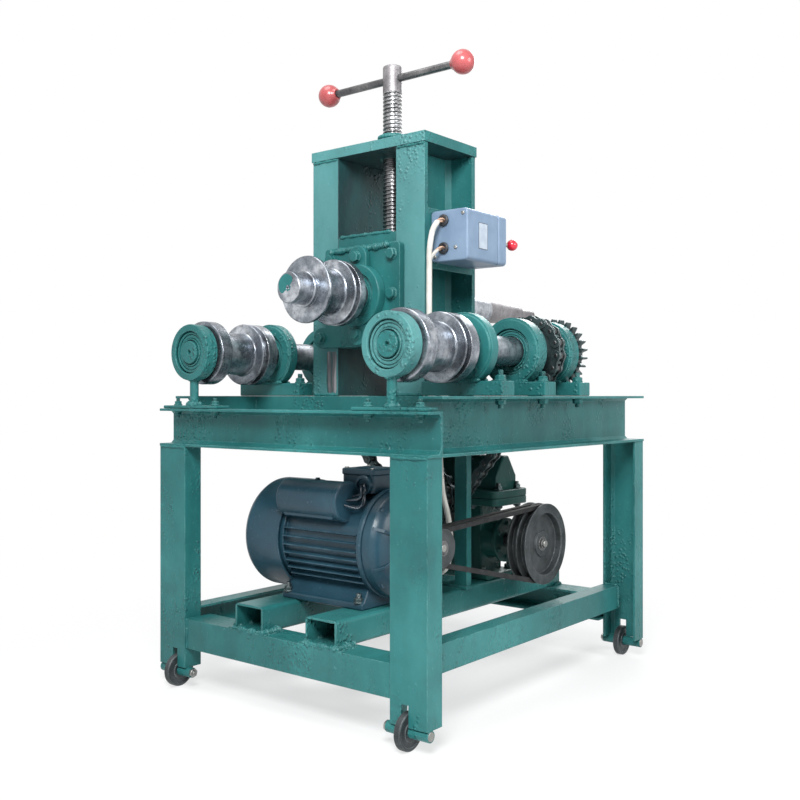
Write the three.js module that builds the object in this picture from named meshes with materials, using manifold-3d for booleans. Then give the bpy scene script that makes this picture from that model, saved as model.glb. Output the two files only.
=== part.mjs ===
// An electric pipe bending machine: a steel table on four wheels, a screw press tower with a sliding
// carriage, one upper and two lower bending rollers, and a motor, belts, worm reducer and chains.
//
// Millimetres, +Z up, X across the front, Y from the front to the back. Heights are written over the
// table top first and moved up by the table's height at the end, and the origin is on the floor
// below the middle of the machine.

import * as THREE from "three";
import { mergeVertices } from "three/addons/utils/BufferGeometryUtils.js";
import Module from "manifold-3d";

const wasm = await Module();
wasm.setup();

// Clearances
const SEAT = 0.3; // between faces that touch
const RUN = 0.4; // round a turning or sliding piece
const OVERRUN = 2; // how far a cutter passes the face it cuts
const WELD = 1; // how far welded pieces run into each other

// Counts of facets
const FINE = 18;
const MEDIUM = 12;
const COARSE = 8;
const PIN_SIDES = 5;
const ARC_STEPS = 6;
const CORNER_STEPS = 3;
const KNOB_STEPS = 7;

// Table
const TABLE_HEIGHT = 578;
const HALF_WIDTH = 340;
const BEAM_LENGTH = 753;
const BEAM_HEIGHT = 100;
const BEAM_FLANGE = 50;
const BEAM_WALL = 5;
const FRONT_BEAM_HEIGHT = 75;
const FRONT_BEAM_FLANGE = 40;
const CROSS_WIDTH = 48;
const CROSS_FRONTS = { tower_front: 176, tower_back: 321, shaft_end: 458 };
const FILLET = 6;

// Legs and wheels
const LEG_WIDTH = 77;
const LEG_DEPTH = 40;
const LEG_WALL = 5;
const LEG_INSET = 2;
const WHEEL_RADIUS = 32;
const WHEEL_WIDTH = 13;
const AXLE_RADIUS = 10;
const AXLE_OVERHANG = 11;
const WHEEL_FROM_WEB = 10;
const WHEEL_FROM_LEG_SIDE = 46;
const SLOT_SIDE_GAP = 1.2;
const SLOT_HEIGHT = 36;

// Lower rails and the rails that carry the drive
const LOWER_RAIL_HEIGHT = 58;
const LOWER_RAIL_DEPTH = 60;
const LOWER_RAIL_WALL = 4.5;
const LOWER_RAIL_TOP = -440;
const LOWER_RAIL_SETBACK = 4;
const SIDE_RAIL_HEIGHT = 50;
const SIDE_RAIL_FLANGE = 36;
const SIDE_RAIL_TOP = -420;
const MOTOR_RAIL_WIDTH = 74;
const MOTOR_RAIL_HEIGHT = 50;
const MOTOR_RAIL_WALL = 4;
const MOTOR_RAIL_CORNER = 7;
const MOTOR_RAIL_CENTRES = { left: -88, right: 96 };
const MOTOR_RAIL_OVERHANG = 6;
const POST_WIDTH = 30;
const POST_DEPTH = 16;
const POST_WALL = 3.5;
const POST_SIDE = 126;
const POST_FOOT = { left: 64, right: 144, thickness: 6 };

// Tower
const COLUMN_INNER = 76; // from the middle to a column's web
const COLUMN_FLANGE = 70;
const COLUMN_DEPTH = 170;
const COLUMN_WEB_WALL = 9;
const COLUMN_FLANGE_WALL = 10.5;
const COLUMN_FRONT = 205;
const COLUMN_HEIGHT = 487;
const COLUMN_FILLET = 9;
const TOP_PLATE_THICKNESS = 20;
const TOP_PLATE_LAP = 2.5;
const NUT_RADIUS = 26;
const NUT_STANDOUT = 41;

// Screw and its tommy bar
const SCREW_RADIUS = 20;
const SCREW_TAIL_RADIUS = 14;
const SCREW_TAIL_LENGTH = 28;
const SCREW_LAND_HEIGHT = 4;
const SCREW_HEAD_FOOT = 629;
const SCREW_TOP = 685;
const SCREW_Y = 288;
const SCREW_CHAMFER = 3;
const BAR_HEIGHT = 653;
const BAR_RADIUS = 7.8;
const KNOB_RADIUS = 24;
const KNOB_CENTRE = 177;
const KNOB_SOCKET = 19;
const KNOB_NECK = 11;

// Carriage
const SHAFT_HEIGHT = 198.6; // of the upper shaft
const CARRIAGE_HALF_HEIGHT = 100.6;
const CARRIAGE_CROWN = 23; // how far the block stands over its front plate
const CARRIAGE_PLATE_HALF = 97.5;
const CARRIAGE_PLATE_THICKNESS = 15;
const CARRIAGE_CORNER = 8;
const EAR_REACH = 110;
const EAR_RADIUS = 21;
const FLANGE_BOSS_RADIUS = 62;
const FLANGE_THICKNESS = 20;
const FLANGE_FOOT_THICKNESS = 14;
const FLANGE_LOBE_SPAN = 75.4;
const FLANGE_LOBE_RADIUS = 24;
const REAR_FLANGE_THICKNESS = 18;

// Shafts, rollers and bearings
const LOWER_SPACING = 252; // from the middle to a lower shaft
const LOWER_HEIGHT = 86;
const SHAFT_RADIUS = 29;
const JOURNAL_RADIUS = 22.5;
const TAIL_RADIUS = 25;
const UPPER_NOSE = -15;
const UPPER_TAPER_START = 620;
const UPPER_TAPER_END = 770;
const UPPER_TAPER_RADIUS = 20.6;
const UPPER_STUB_RADIUS = 15;
const UPPER_STUB_END = 831;
const CENTRE_HOLE_RADIUS = 4;
const CENTRE_HOLE_DEPTH = 5;
const ROLLER_RADIUS = 63;
const ROLLER_BARREL_RADIUS = 43;
const ROLLER_COLLAR_RADIUS = 34;
const LOWER_STEPS = {
  nose: -3, front: -6, first_rim: 22, barrel: 100, second_rim: 105, groove: 119, last_rim: 145,
};
const UPPER_STEPS = {
  nose: 21, front: 29, first_rim: 38, barrel: 96, second_rim: 103, groove: 115, last_rim: 133,
};
const ROLLER_SMALL_GROOVE_RADIUS = 53;
const ROLLER_LIP = 3;
const BEARING_RADIUS = 45;
const FRONT_BEARING_RADIUS = 42;
const BEARING_SEAT_DEPTH = 1.5;

// Bearing housings
const FRONT_HOUSING_RADIUS = 55.5;
const FRONT_HOUSING_FRONT = -38;
const FRONT_HOUSING_LENGTH = 28;
const FRONT_POST_WIDTH = 18;
const FRONT_FOOT_LENGTH = 160;
const FRONT_FOOT_THICKNESS = 6;
const BLOCK_RADIUS = 66.5;
const BLOCK_STEP = 4;
const BLOCK_CHAMFER = 3;
const BLOCK_BAR_WIDTH = 42;
const BLOCK_PLACES = {
  first: { bar: 176, disc: [174, 200] },
  second: { bar: 324, disc: [337, 371] },
  third: { bar: 460, disc: [464, 498] },
};
const BLOCK_BAR_HEIGHT = 27;
const BLOCK_BAR_INNER = 160;

// Chains and sprockets
const PITCH = 25.4;
const TEETH = 16;
const SPAN_LINKS = 15; // whole pitches between the sprockets, and half a pitch more
const LINK_ROLLER_RADIUS = 7.9;
const LINK_HALF_HEIGHT = 10.5;
const LINK_PLATE = 2.8;
const LINK_INNER_WIDTH = 13;
const RIGHT_ROW_Y = 417;
const LEFT_ROW_Y = 390;
const SPROCKET_WIDTH = 11;
const TOOTH_RISE = 5; // of a tooth's tip over the pitch circle
const TOOTH_SEAT = 5.4; // half the floor between two teeth
const TOOTH_TIP = 0.027; // half the angle of a tooth's tip
const SPROCKET_HUB_RADIUS = 40;
const SPARE_PITCH = 15.875;
const SPARE_TEETH = 26;
const SPARE_TOOTH_HEIGHT = 9;
const SPARE_TOOTH_SHARES = [-0.22, 0.22, 0.44, 0.56]; // of a tooth's step: its floor, then its tip
const SPARE_Y = 512;
const SPARE_WIDTH = 18;
const END_DISC_RADIUS = 34;
const END_DISC_Y = 521.3;
const END_DISC_THICKNESS = 8;

// Reducer
const REDUCER_Y = 506;
const WORM_HEIGHT = -309;
const COVER_HALF_LENGTH = 138;
const COVER_HALF_WIDTH = 40;
const CASE_HALF_LENGTH = 100;
const REDUCER_FLANGE_HALF = 155;
const REDUCER_FLANGE_WIDTH = 65;
const REDUCER_FLANGE_THICKNESS = 16;
const REDUCER_FOOT_THICKNESS = 12;
const REDUCER_FOOT_FRONT = 58;
const REDUCER_FOOT_HALF = 128;
const REDUCER_EAVE = -172;
const REDUCER_RIDGE = -128;
const REDUCER_RIDGE_HALF = 10;
const REDUCER_WALL = 8;
const WORM_BOSS_RADIUS = 40;
const WORM_BOSS_REACH = 140;
const WORM_SHAFT_RADIUS = 15;
const WORM_RADIUS = 24;
const WORM_LENGTH = 84;
const WORM_WHEEL_TEETH = 30;
const WORM_WHEEL_WIDTH = 26;
const WORM_TOOTH_DEPTH = 5;
const WORM_TOOTH_SHARES = [0.1, 0.3, 0.7, 0.9]; // of a tooth's step: root, tip, tip, root
const OUTPUT_SHAFT_RADIUS = 20;

// Belt drive
const BIG_PULLEY_RADIUS = 84;
const MOTOR_PULLEY_RADIUS = 35;
const PULLEY_FACE = 236;
const GROOVE_SPACING = 20;
const RIM_WIDTH = 4;
const GROOVE_DEPTH = 12;
const BELT_DEPTH = 10;
const PULLEY_DISH = 12;
const PULLEY_HUB_RADIUS = 27;
const PULLEY_RIM_WALL = 20;

// Motor
const MOTOR_Y = 145;
const MOTOR_HEIGHT = -275;
const MOTOR_RADIUS = 92;
const FIN_HEIGHT = 12;
const FIN_THICKNESS = 3.5;
const FIN_COUNT = 20;
const MOTOR_BODY_LEFT = -92;
const MOTOR_BODY_RIGHT = 124;
const END_BELL_LENGTH = 52;
const END_BELL_RADIUS = 100;
const END_BELL_NOSE = 34;
const END_BELL_SHARES = { shoulder: 1 / 3, slope: 1 / 4, nose: 1 / 5 };
const FAN_COVER_LENGTH = 87;
const FAN_COVER_LAP = 12;
const FAN_COVER_WALL = 2.5;
const FAN_COVER_HOLES = 8;
const FAN_SLOT_WIDTH = 9;
const FAN_RADIUS = 92;
const FAN_HUB_RADIUS = 28;
const FAN_BLADE_ROOT = 21; // inside the hub, where a blade starts
const FAN_BLADES = 7;
const FAN_WIDTH = 34;
const FAN_BLADE_WALL = 4;
const MOTOR_SHAFT_RADIUS = 14;
const MOTOR_FOOT_SPREAD = 84;
const MOTOR_FOOT_HEIGHT = 12;
const MOTOR_FOOT_HALF = 62;
const TERMINAL_BOX = { length: 78, width: 80, height: 46, centre: 63 };
const TERMINAL_BASE_SHARE = 0.8; // of the box's height, under its lid
const TERMINAL_LID_INSET = 2;
const CAPACITOR_RADIUS = 37;
const CAPACITOR_ENDS = [-76, 78];
const CAPACITOR_LIFT = 80; // over the motor's axis
const CAPACITOR_SETBACK = 81; // in front of the motor's axis

// Switch box
const BOX_LEFT = 146.6;
const BOX_RIGHT = 232;
const BOX_FRONT = 224;
const BOX_BACK = 360;
const BOX_FOOT = 256;
const BOX_TOP = 354;
const BOX_CORNER = 9;
const BOX_WALL = 2.5;
const BRACKET_THICKNESS = 5;
const BRACKET_FOOT = 246;
const BRACKET_TOP = 362;
const GROMMET_RADIUS = 11.5;
const GROMMET_SIDE = 178;
const GROMMET_HEIGHTS = { upper: 334, lower: 281 };
const GROMMET_LENGTH = 3.5;
const LEVER_SIDE = 189;
const LEVER_HEIGHT = 305;
const LEVER_RADIUS = 4;
const LEVER_BALL_RADIUS = 11.5;
const LEVER_ARM = 26;
const LEVER_REACH = 47;
const LEVER_BEND_SHARE = 1 / 4; // of the arm's reach, where its crank bends

// Cable
const CABLE_RADIUS = 5.5;
const LEAD_RADIUS = 3.5;
const CABLE_STEPS = 62;

// Materials
const enamel = new THREE.MeshStandardMaterial({ color: 0x3a7a78, roughness: 0.45, metalness: 0.1 });
const steel = new THREE.MeshStandardMaterial({ color: 0x9a98a0, roughness: 0.4, metalness: 0.9 });
const darkSteel = new THREE.MeshStandardMaterial({ color: 0x3b3f42, roughness: 0.55, metalness: 0.7 });
const castIron = new THREE.MeshStandardMaterial({ color: 0x4a5052, roughness: 0.7, metalness: 0.5 });
const navy = new THREE.MeshStandardMaterial({ color: 0x2c4560, roughness: 0.5, metalness: 0.2 });
const rubber = new THREE.MeshStandardMaterial({ color: 0x1a1b1d, roughness: 0.85, metalness: 0 });
const coral = new THREE.MeshStandardMaterial({ color: 0xdf5c58, roughness: 0.35, metalness: 0 });
const red = new THREE.MeshStandardMaterial({ color: 0xc8203a, roughness: 0.3, metalness: 0 });
const boxPaint = new THREE.MeshStandardMaterial({ color: 0xa8b8d0, roughness: 0.4, metalness: 0.1 });
const whitePvc = new THREE.MeshStandardMaterial({ color: 0xe8e8e2, roughness: 0.5, metalness: 0 });

// The machine's pieces are added to this group, in heights over the table top
const machine = new THREE.Group();
machine.name = "pipe_bending_machine";

// Geometry helpers

// Only positions, each corner once, no slivers without area, and faces that point out. It is done
// where a body is made, before it is moved, while equal corners are still exactly equal.
function closed(geometry) {
  const bare = geometry.clone();
  bare.deleteAttribute("normal");
  bare.deleteAttribute("uv");
  const welded = mergeVertices(bare);
  const from = welded.getIndex().array;
  const kept = [];
  for (let i = 0; i < from.length; i += 3) {
    const [a, b, c] = [from[i], from[i + 1], from[i + 2]];
    if (a !== b && b !== c && c !== a) kept.push(a, b, c);
  }
  if (signedVolume(welded.getAttribute("position"), kept) < 0) kept.reverse();
  welded.setIndex(kept);
  return welded;
}

function signedVolume(position, index) {
  const [a, b, c] = [new THREE.Vector3(), new THREE.Vector3(), new THREE.Vector3()];
  let sum = 0;
  for (let i = 0; i < index.length; i += 3) {
    a.fromBufferAttribute(position, index[i]);
    b.fromBufferAttribute(position, index[i + 1]);
    c.fromBufferAttribute(position, index[i + 2]);
    sum += a.dot(b.cross(c));
  }
  return sum;
}

function toManifold(solid) {
  return new wasm.Manifold(
    new wasm.Mesh({
      numProp: 3,
      vertProperties: new Float32Array(solid.getAttribute("position").array),
      triVerts: new Uint32Array(solid.getIndex().array),
    })
  );
}

function fromManifold(manifold) {
  const mesh = manifold.getMesh();
  const geometry = new THREE.BufferGeometry();
  const points = [];
  for (let i = 0; i < mesh.numVert; i += 1) {
    const at = i * mesh.numProp;
    points.push(mesh.vertProperties[at], mesh.vertProperties[at + 1], mesh.vertProperties[at + 2]);
  }
  geometry.setAttribute("position", new THREE.Float32BufferAttribute(points, 3));
  geometry.setIndex(Array.from(mesh.triVerts));
  return geometry;
}

function join(...pieces) {
  return fromManifold(pieces.map(toManifold).reduce((whole, piece) => whole.add(piece)));
}

function cut(body, ...cutters) {
  return fromManifold(cutters.map(toManifold).reduce((rest, tool) => rest.subtract(tool), toManifold(body)));
}

function box(x, y, z) {
  const [dx, dy, dz] = [x[1] - x[0], y[1] - y[0], z[1] - z[0]];
  return closed(new THREE.BoxGeometry(dx, dy, dz)).translate(x[0] + dx / 2, y[0] + dy / 2, z[0] + dz / 2);
}

function outline(points) {
  return new THREE.Shape(points.map(([u, v]) => new THREE.Vector2(u, v)));
}

function extruded(shape, length) {
  return closed(
    new THREE.ExtrudeGeometry(shape, { depth: length, bevelEnabled: false, curveSegments: ARC_STEPS })
  );
}

// A shape drawn in (x, y), raised from z0 to z1
function prismZ(shape, z0, z1) {
  return extruded(shape, z1 - z0).translate(0, 0, z0);
}

// A shape drawn in (x, z), run from y0 to y1
function prismY(shape, y0, y1) {
  return extruded(shape, y1 - y0).rotateX(Math.PI / 2).translate(0, y1, 0);
}

// A shape drawn in (y, z), run from x0 to x1
function prismX(shape, x0, x1) {
  return extruded(shape, x1 - x0).rotateX(Math.PI / 2).rotateZ(Math.PI / 2).translate(x0, 0, 0);
}

// A profile of [radius, place along the axis] turned about an axis
function turned(profile, sides) {
  return closed(new THREE.LatheGeometry(profile.map(([r, at]) => new THREE.Vector2(r, at)), sides));
}

function turnedX(profile, y, z, sides = MEDIUM) {
  return turned(profile, sides).rotateZ(-Math.PI / 2).rotateX(Math.PI / 2).translate(0, y, z);
}

function turnedY(profile, x, z, sides = MEDIUM) {
  return turned(profile, sides).translate(x, 0, z);
}

function turnedZ(profile, x, y, sides = MEDIUM) {
  return turned(profile, sides).rotateX(Math.PI / 2).translate(x, y, 0);
}

// The radius to give a bore with flat facets, so that a round piece turns freely inside
function bored(radius, sides = MEDIUM) {
  return radius / Math.cos(Math.PI / sides);
}

// The profile of a solid bar, and of a ring
function rod(radius, from, to) {
  return [[0, from], [radius, from], [radius, to], [0, to]];
}

function ring(inner, outer, from, to) {
  return [[inner, from], [outer, from], [outer, to], [inner, to], [inner, from]];
}

function rectangle(u, v) {
  return outline([[u[0], v[0]], [u[1], v[0]], [u[1], v[1]], [u[0], v[1]]]);
}

// The points of an arc about a centre, with both of its ends
function arc(u, v, radius, from, to, steps) {
  const points = [];
  for (let i = 0; i <= steps; i += 1) {
    const angle = from + ((to - from) * i) / steps;
    points.push([u + radius * Math.cos(angle), v + radius * Math.sin(angle)]);
  }
  return points;
}

const QUARTER = Math.PI / 2;

function roundedRectangle(u, v, corner) {
  const [left, right, low, high] = [u[0] + corner, u[1] - corner, v[0] + corner, v[1] - corner];
  return outline([
    ...arc(left, low, corner, 2 * QUARTER, 3 * QUARTER, CORNER_STEPS),
    ...arc(right, low, corner, 3 * QUARTER, 4 * QUARTER, CORNER_STEPS),
    ...arc(right, high, corner, 0, QUARTER, CORNER_STEPS),
    ...arc(left, high, corner, QUARTER, 2 * QUARTER, CORNER_STEPS),
  ]);
}

// A rolled channel's section: its web stands at u0, its flanges reach to u1, from v0 up to v1
function channel(u0, u1, v, webWall, flangeWall, fillet) {
  const way = Math.sign(u1 - u0);
  const inner = u0 + way * webWall;
  const [low, high] = [v[0] + flangeWall, v[1] - flangeWall];
  const root = inner + way * fillet;
  const points = [[u0, v[0]], [u1, v[0]], [u1, low], [root, low], [inner, low + fillet]];
  points.push([inner, high - fillet], [root, high], [u1, high], [u1, v[1]], [u0, v[1]]);
  return outline(points);
}

function swapped(shape) {
  return new THREE.Shape(shape.getPoints(ARC_STEPS).map((p) => new THREE.Vector2(p.y, p.x)));
}

function tube(points, radius, sides, steps) {
  const path = new THREE.CatmullRomCurve3(points.map(([x, y, z]) => new THREE.Vector3(x, y, z)));
  const section = [];
  for (let i = 0; i < sides; i += 1) {
    const angle = (i * 2 * Math.PI) / sides;
    section.push([radius * Math.cos(angle), radius * Math.sin(angle)]);
  }
  return closed(
    new THREE.ExtrudeGeometry(outline(section), { steps, extrudePath: path, bevelEnabled: false })
  );
}

function add(name, geometry, material) {
  const mesh = new THREE.Mesh(fromManifold(toManifold(geometry)), material);
  mesh.name = name;
  machine.add(mesh);
  return mesh;
}

const SIDES = { left: -1, right: 1 };

// One node on each side of the machine
function addPair(name, make, material) {
  Object.entries(SIDES).forEach(([word, side]) => add(`${word}_${name}`, make(side), material));
}

// Table

function sideBeam(side) {
  const web = HALF_WIDTH - BEAM_FLANGE;
  const section = channel(side * web, side * HALF_WIDTH, [-BEAM_HEIGHT, 0], BEAM_WALL, BEAM_WALL, FILLET);
  return prismY(section, 0, BEAM_LENGTH);
}

function frontBeam() {
  const section = channel(
    -SEAT, -FRONT_BEAM_FLANGE, [-BEAM_HEIGHT, FRONT_BEAM_HEIGHT - BEAM_HEIGHT], BEAM_WALL, BEAM_WALL, FILLET
  );
  return prismX(section, -HALF_WIDTH, HALF_WIDTH);
}

function crossChannel(front) {
  const reach = HALF_WIDTH - BEAM_FLANGE + WELD;
  const section = channel(front, front + CROSS_WIDTH, [-BEAM_HEIGHT, 0], BEAM_WALL, BEAM_WALL, FILLET);
  return prismX(section, -reach, reach);
}

add("front_beam", frontBeam(), enamel);
add("table_frame", join(sideBeam(-1), sideBeam(1), ...Object.values(CROSS_FRONTS).map(crossChannel)), enamel);

// Legs, wheels and axles

const WHEEL_Z = WHEEL_RADIUS - TABLE_HEIGHT;
const LEG_FOOT = WHEEL_Z + AXLE_RADIUS - WELD;
const LEG_OUTER = HALF_WIDTH - LEG_INSET;
const LEG_INNER = LEG_OUTER - LEG_WIDTH;
const WHEEL_X = LEG_OUTER - WHEEL_FROM_LEG_SIDE;
const LEG_FRONT = -LEG_DEPTH;
const FRONT_WHEEL_Y = LEG_FRONT + WHEEL_FROM_WEB;
const REAR_WHEEL_Y = BEAM_LENGTH - WHEEL_FROM_WEB;

// One leg; end is -1 in front and 1 behind, and its web faces out
function leg(side, end) {
  const webY = end < 0 ? LEG_FRONT : BEAM_LENGTH;
  const [near, far] = side < 0 ? [-LEG_OUTER, -LEG_INNER] : [LEG_INNER, LEG_OUTER];
  const section = swapped(
    channel(webY, webY - end * LEG_DEPTH, [near, far], LEG_WALL, LEG_WALL, FILLET)
  );
  const body = prismZ(section, LEG_FOOT, -BEAM_HEIGHT - SEAT);
  const half = WHEEL_WIDTH / 2 + SLOT_SIDE_GAP;
  const slot = box(
    [side * WHEEL_X - half, side * WHEEL_X + half],
    [webY - LEG_WALL - OVERRUN, webY + LEG_WALL + OVERRUN],
    [LEG_FOOT - OVERRUN, LEG_FOOT + SLOT_HEIGHT]
  );
  return cut(body, slot);
}

function wheel(side, y) {
  const outer = bored(WHEEL_RADIUS);
  const profile = ring(bored(AXLE_RADIUS + RUN), outer, -WHEEL_WIDTH / 2, WHEEL_WIDTH / 2);
  const shape = turned(profile, MEDIUM).rotateZ(-QUARTER).rotateX(Math.PI / MEDIUM);
  return shape.translate(side * WHEEL_X, y, WHEEL_Z);
}

function axle(side, y) {
  const ends = [side * (LEG_INNER - AXLE_OVERHANG), side * LEG_OUTER].sort((a, b) => a - b);
  return turnedX(rod(AXLE_RADIUS, ...ends), y, WHEEL_Z, MEDIUM);
}

const corners = [
  ["front_left", -1, FRONT_WHEEL_Y, -1], ["front_right", 1, FRONT_WHEEL_Y, -1],
  ["rear_left", -1, REAR_WHEEL_Y, 1], ["rear_right", 1, REAR_WHEEL_Y, 1],
];
corners.forEach(([name, side, y]) => add(`${name}_wheel`, wheel(side, y), steel));

// Lower rails

function lowerCrossRail(end) {
  const z = [LOWER_RAIL_TOP - LOWER_RAIL_HEIGHT, LOWER_RAIL_TOP];
  const web = end < 0 ? LEG_FRONT + LOWER_RAIL_SETBACK : BEAM_LENGTH - LOWER_RAIL_SETBACK;
  const section = channel(web, web - end * LOWER_RAIL_DEPTH, z, LOWER_RAIL_WALL, LOWER_RAIL_WALL, FILLET);
  return prismX(section, -LEG_INNER - WELD, LEG_INNER + WELD);
}

function lowerSideRail(side) {
  const outer = LEG_INNER + SIDE_RAIL_FLANGE;
  const z = [SIDE_RAIL_TOP - SIDE_RAIL_HEIGHT, SIDE_RAIL_TOP];
  const section = channel(side * outer, side * LEG_INNER, z, LOWER_RAIL_WALL, LOWER_RAIL_WALL, FILLET);
  return prismY(section, -WELD, BEAM_LENGTH - LEG_DEPTH + WELD);
}

function motorRail(centre) {
  const foot = LOWER_RAIL_TOP - WELD;
  const wall = MOTOR_RAIL_WALL;
  const x = [centre - MOTOR_RAIL_WIDTH / 2, centre + MOTOR_RAIL_WIDTH / 2];
  const shape = roundedRectangle(x, [foot, foot + MOTOR_RAIL_HEIGHT], MOTOR_RAIL_CORNER);
  shape.holes.push(rectangle([x[0] + wall, x[1] - wall], [foot + wall, foot + MOTOR_RAIL_HEIGHT - wall]));
  const front = LEG_FRONT + LOWER_RAIL_SETBACK + MOTOR_RAIL_OVERHANG;
  return prismY(shape, front, BEAM_LENGTH - LOWER_RAIL_SETBACK - MOTOR_RAIL_OVERHANG);
}

const MOTOR_RAIL_TOP = LOWER_RAIL_TOP + MOTOR_RAIL_HEIGHT - WELD;

function supportPost() {
  const x = [POST_SIDE - POST_WIDTH / 2, POST_SIDE + POST_WIDTH / 2];
  const back = CROSS_FRONTS.tower_back + CROSS_WIDTH;
  const y = [back - POST_DEPTH, back];
  const foot = MOTOR_RAIL_TOP - WELD;
  const footTop = foot + POST_FOOT.thickness;
  const shape = rectangle(x, y);
  shape.holes.push(rectangle([x[0] + POST_WALL, x[1] - POST_WALL], [y[0] + POST_WALL, y[1] - POST_WALL]));
  const plate = box([POST_FOOT.left, POST_FOOT.right], [y[0] - POST_FOOT.thickness, y[1]], [foot, footTop]);
  return join(prismZ(shape, footTop - WELD, -BEAM_HEIGHT - SEAT), plate);
}

// Legs, axles, rails and the post are welded into one frame
function lowerFrame() {
  const sides = Object.values(SIDES);
  return join(
    ...corners.map(([, side, , end]) => leg(side, end)),
    ...corners.map(([, side, y]) => axle(side, y)),
    ...sides.map(lowerCrossRail), ...sides.map(lowerSideRail),
    ...Object.values(MOTOR_RAIL_CENTRES).map(motorRail), supportPost()
  );
}

add("lower_frame", lowerFrame(), enamel);

// Tower

const COLUMN_OUTER = COLUMN_INNER + COLUMN_FLANGE;
const COLUMN_BACK = COLUMN_FRONT + COLUMN_DEPTH;

function column(side) {
  const section = channel(
    side * COLUMN_INNER, side * COLUMN_OUTER, [COLUMN_FRONT, COLUMN_BACK],
    COLUMN_WEB_WALL, COLUMN_FLANGE_WALL, COLUMN_FILLET
  );
  return prismZ(section, SEAT, COLUMN_HEIGHT);
}

// The plate welded between the right column's flanges, which carries the switch box
function switchBracket() {
  const x = [COLUMN_OUTER - BRACKET_THICKNESS, COLUMN_OUTER];
  const lap = COLUMN_FLANGE_WALL - WELD;
  return box(x, [COLUMN_FRONT + lap, COLUMN_BACK - lap], [BRACKET_FOOT, BRACKET_TOP]);
}

const PLATE_FOOT = COLUMN_HEIGHT + SEAT;
const PLATE_TOP = PLATE_FOOT + TOP_PLATE_THICKNESS;

function topPlate() {
  const reach = COLUMN_OUTER + TOP_PLATE_LAP;
  const plate = box(
    [-reach, reach], [COLUMN_FRONT - TOP_PLATE_LAP, COLUMN_BACK + TOP_PLATE_LAP], [PLATE_FOOT, PLATE_TOP]
  );
  const ends = stretched([PLATE_FOOT, PLATE_TOP]);
  const hole = turnedZ(rod(NUT_RADIUS + SEAT, ...ends), 0, SCREW_Y);
  return cut(plate, hole);
}

function screwNut() {
  const bore = bored(SCREW_RADIUS + RUN);
  const top = PLATE_TOP + NUT_STANDOUT;
  const profile = [
    [bore, PLATE_FOOT], [NUT_RADIUS, PLATE_FOOT], [NUT_RADIUS, top], [bore, top], [bore, PLATE_FOOT],
  ];
  return turnedZ(profile, 0, SCREW_Y);
}

add("left_column", column(-1), enamel);
add("right_column", join(column(1), switchBracket()), enamel);
add("top_plate", topPlate(), enamel);
add("screw_nut", screwNut(), castIron);

// Carriage

const CARRIAGE_FOOT = SHAFT_HEIGHT - CARRIAGE_HALF_HEIGHT;
const PLATE_EDGE = SHAFT_HEIGHT + CARRIAGE_HALF_HEIGHT;
const CARRIAGE_TOP = PLATE_EDGE + CARRIAGE_CROWN;
const FRONT_PLATE_BACK = COLUMN_FRONT - RUN;
const FRONT_PLATE_FRONT = FRONT_PLATE_BACK - CARRIAGE_PLATE_THICKNESS;
const REAR_PLATE_FRONT = COLUMN_BACK + RUN;
const REAR_PLATE_BACK = REAR_PLATE_FRONT + CARRIAGE_PLATE_THICKNESS;
const EAR_HEIGHT = CARRIAGE_FOOT + EAR_RADIUS;

function shaftHole(from, to) {
  return turnedY(rod(bored(SHAFT_RADIUS + RUN), from - OVERRUN, to + OVERRUN), 0, SHAFT_HEIGHT);
}

function carriageBlock() {
  const half = COLUMN_INNER - RUN;
  const y = [FRONT_PLATE_BACK + SEAT, REAR_PLATE_FRONT - SEAT];
  const body = box([-half, half], y, [CARRIAGE_FOOT, CARRIAGE_TOP]);
  const depth = [CARRIAGE_TOP - SCREW_TAIL_LENGTH - RUN, CARRIAGE_TOP + OVERRUN];
  const socket = turnedZ(rod(bored(SCREW_TAIL_RADIUS + RUN), ...depth), 0, SCREW_Y);
  return cut(body, shaftHole(...y), socket);
}

// The front plate's outline: square shoulders above, and round ears below that lap the columns
function earedPlateShape() {
  const [half, corner, high] = [CARRIAGE_PLATE_HALF, CARRIAGE_CORNER, PLATE_EDGE - CARRIAGE_CORNER];
  return outline([
    ...arc(EAR_REACH, EAR_HEIGHT, EAR_RADIUS, -QUARTER, QUARTER, ARC_STEPS),
    [half, EAR_HEIGHT + EAR_RADIUS],
    ...arc(half - corner, high, corner, 0, QUARTER, CORNER_STEPS),
    ...arc(-half + corner, high, corner, QUARTER, 2 * QUARTER, CORNER_STEPS),
    [-half, EAR_HEIGHT + EAR_RADIUS],
    ...arc(-EAR_REACH, EAR_HEIGHT, EAR_RADIUS, QUARTER, 3 * QUARTER, ARC_STEPS),
  ]);
}

function squarePlateShape() {
  const half = [-CARRIAGE_PLATE_HALF, CARRIAGE_PLATE_HALF];
  return roundedRectangle(half, [CARRIAGE_FOOT, PLATE_EDGE], CARRIAGE_CORNER);
}

function carriagePlate(shape, from, to) {
  return cut(prismY(shape, from, to), shaftHole(from, to));
}

// The profile of a bearing's face, sunk into its seat, from its bore out to a face that looks
// along way
function bearingFace(bore, radius, face, way) {
  const sunk = face - way * BEARING_SEAT_DEPTH;
  return [[bore, sunk], [radius, sunk], [radius, face]];
}

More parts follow.
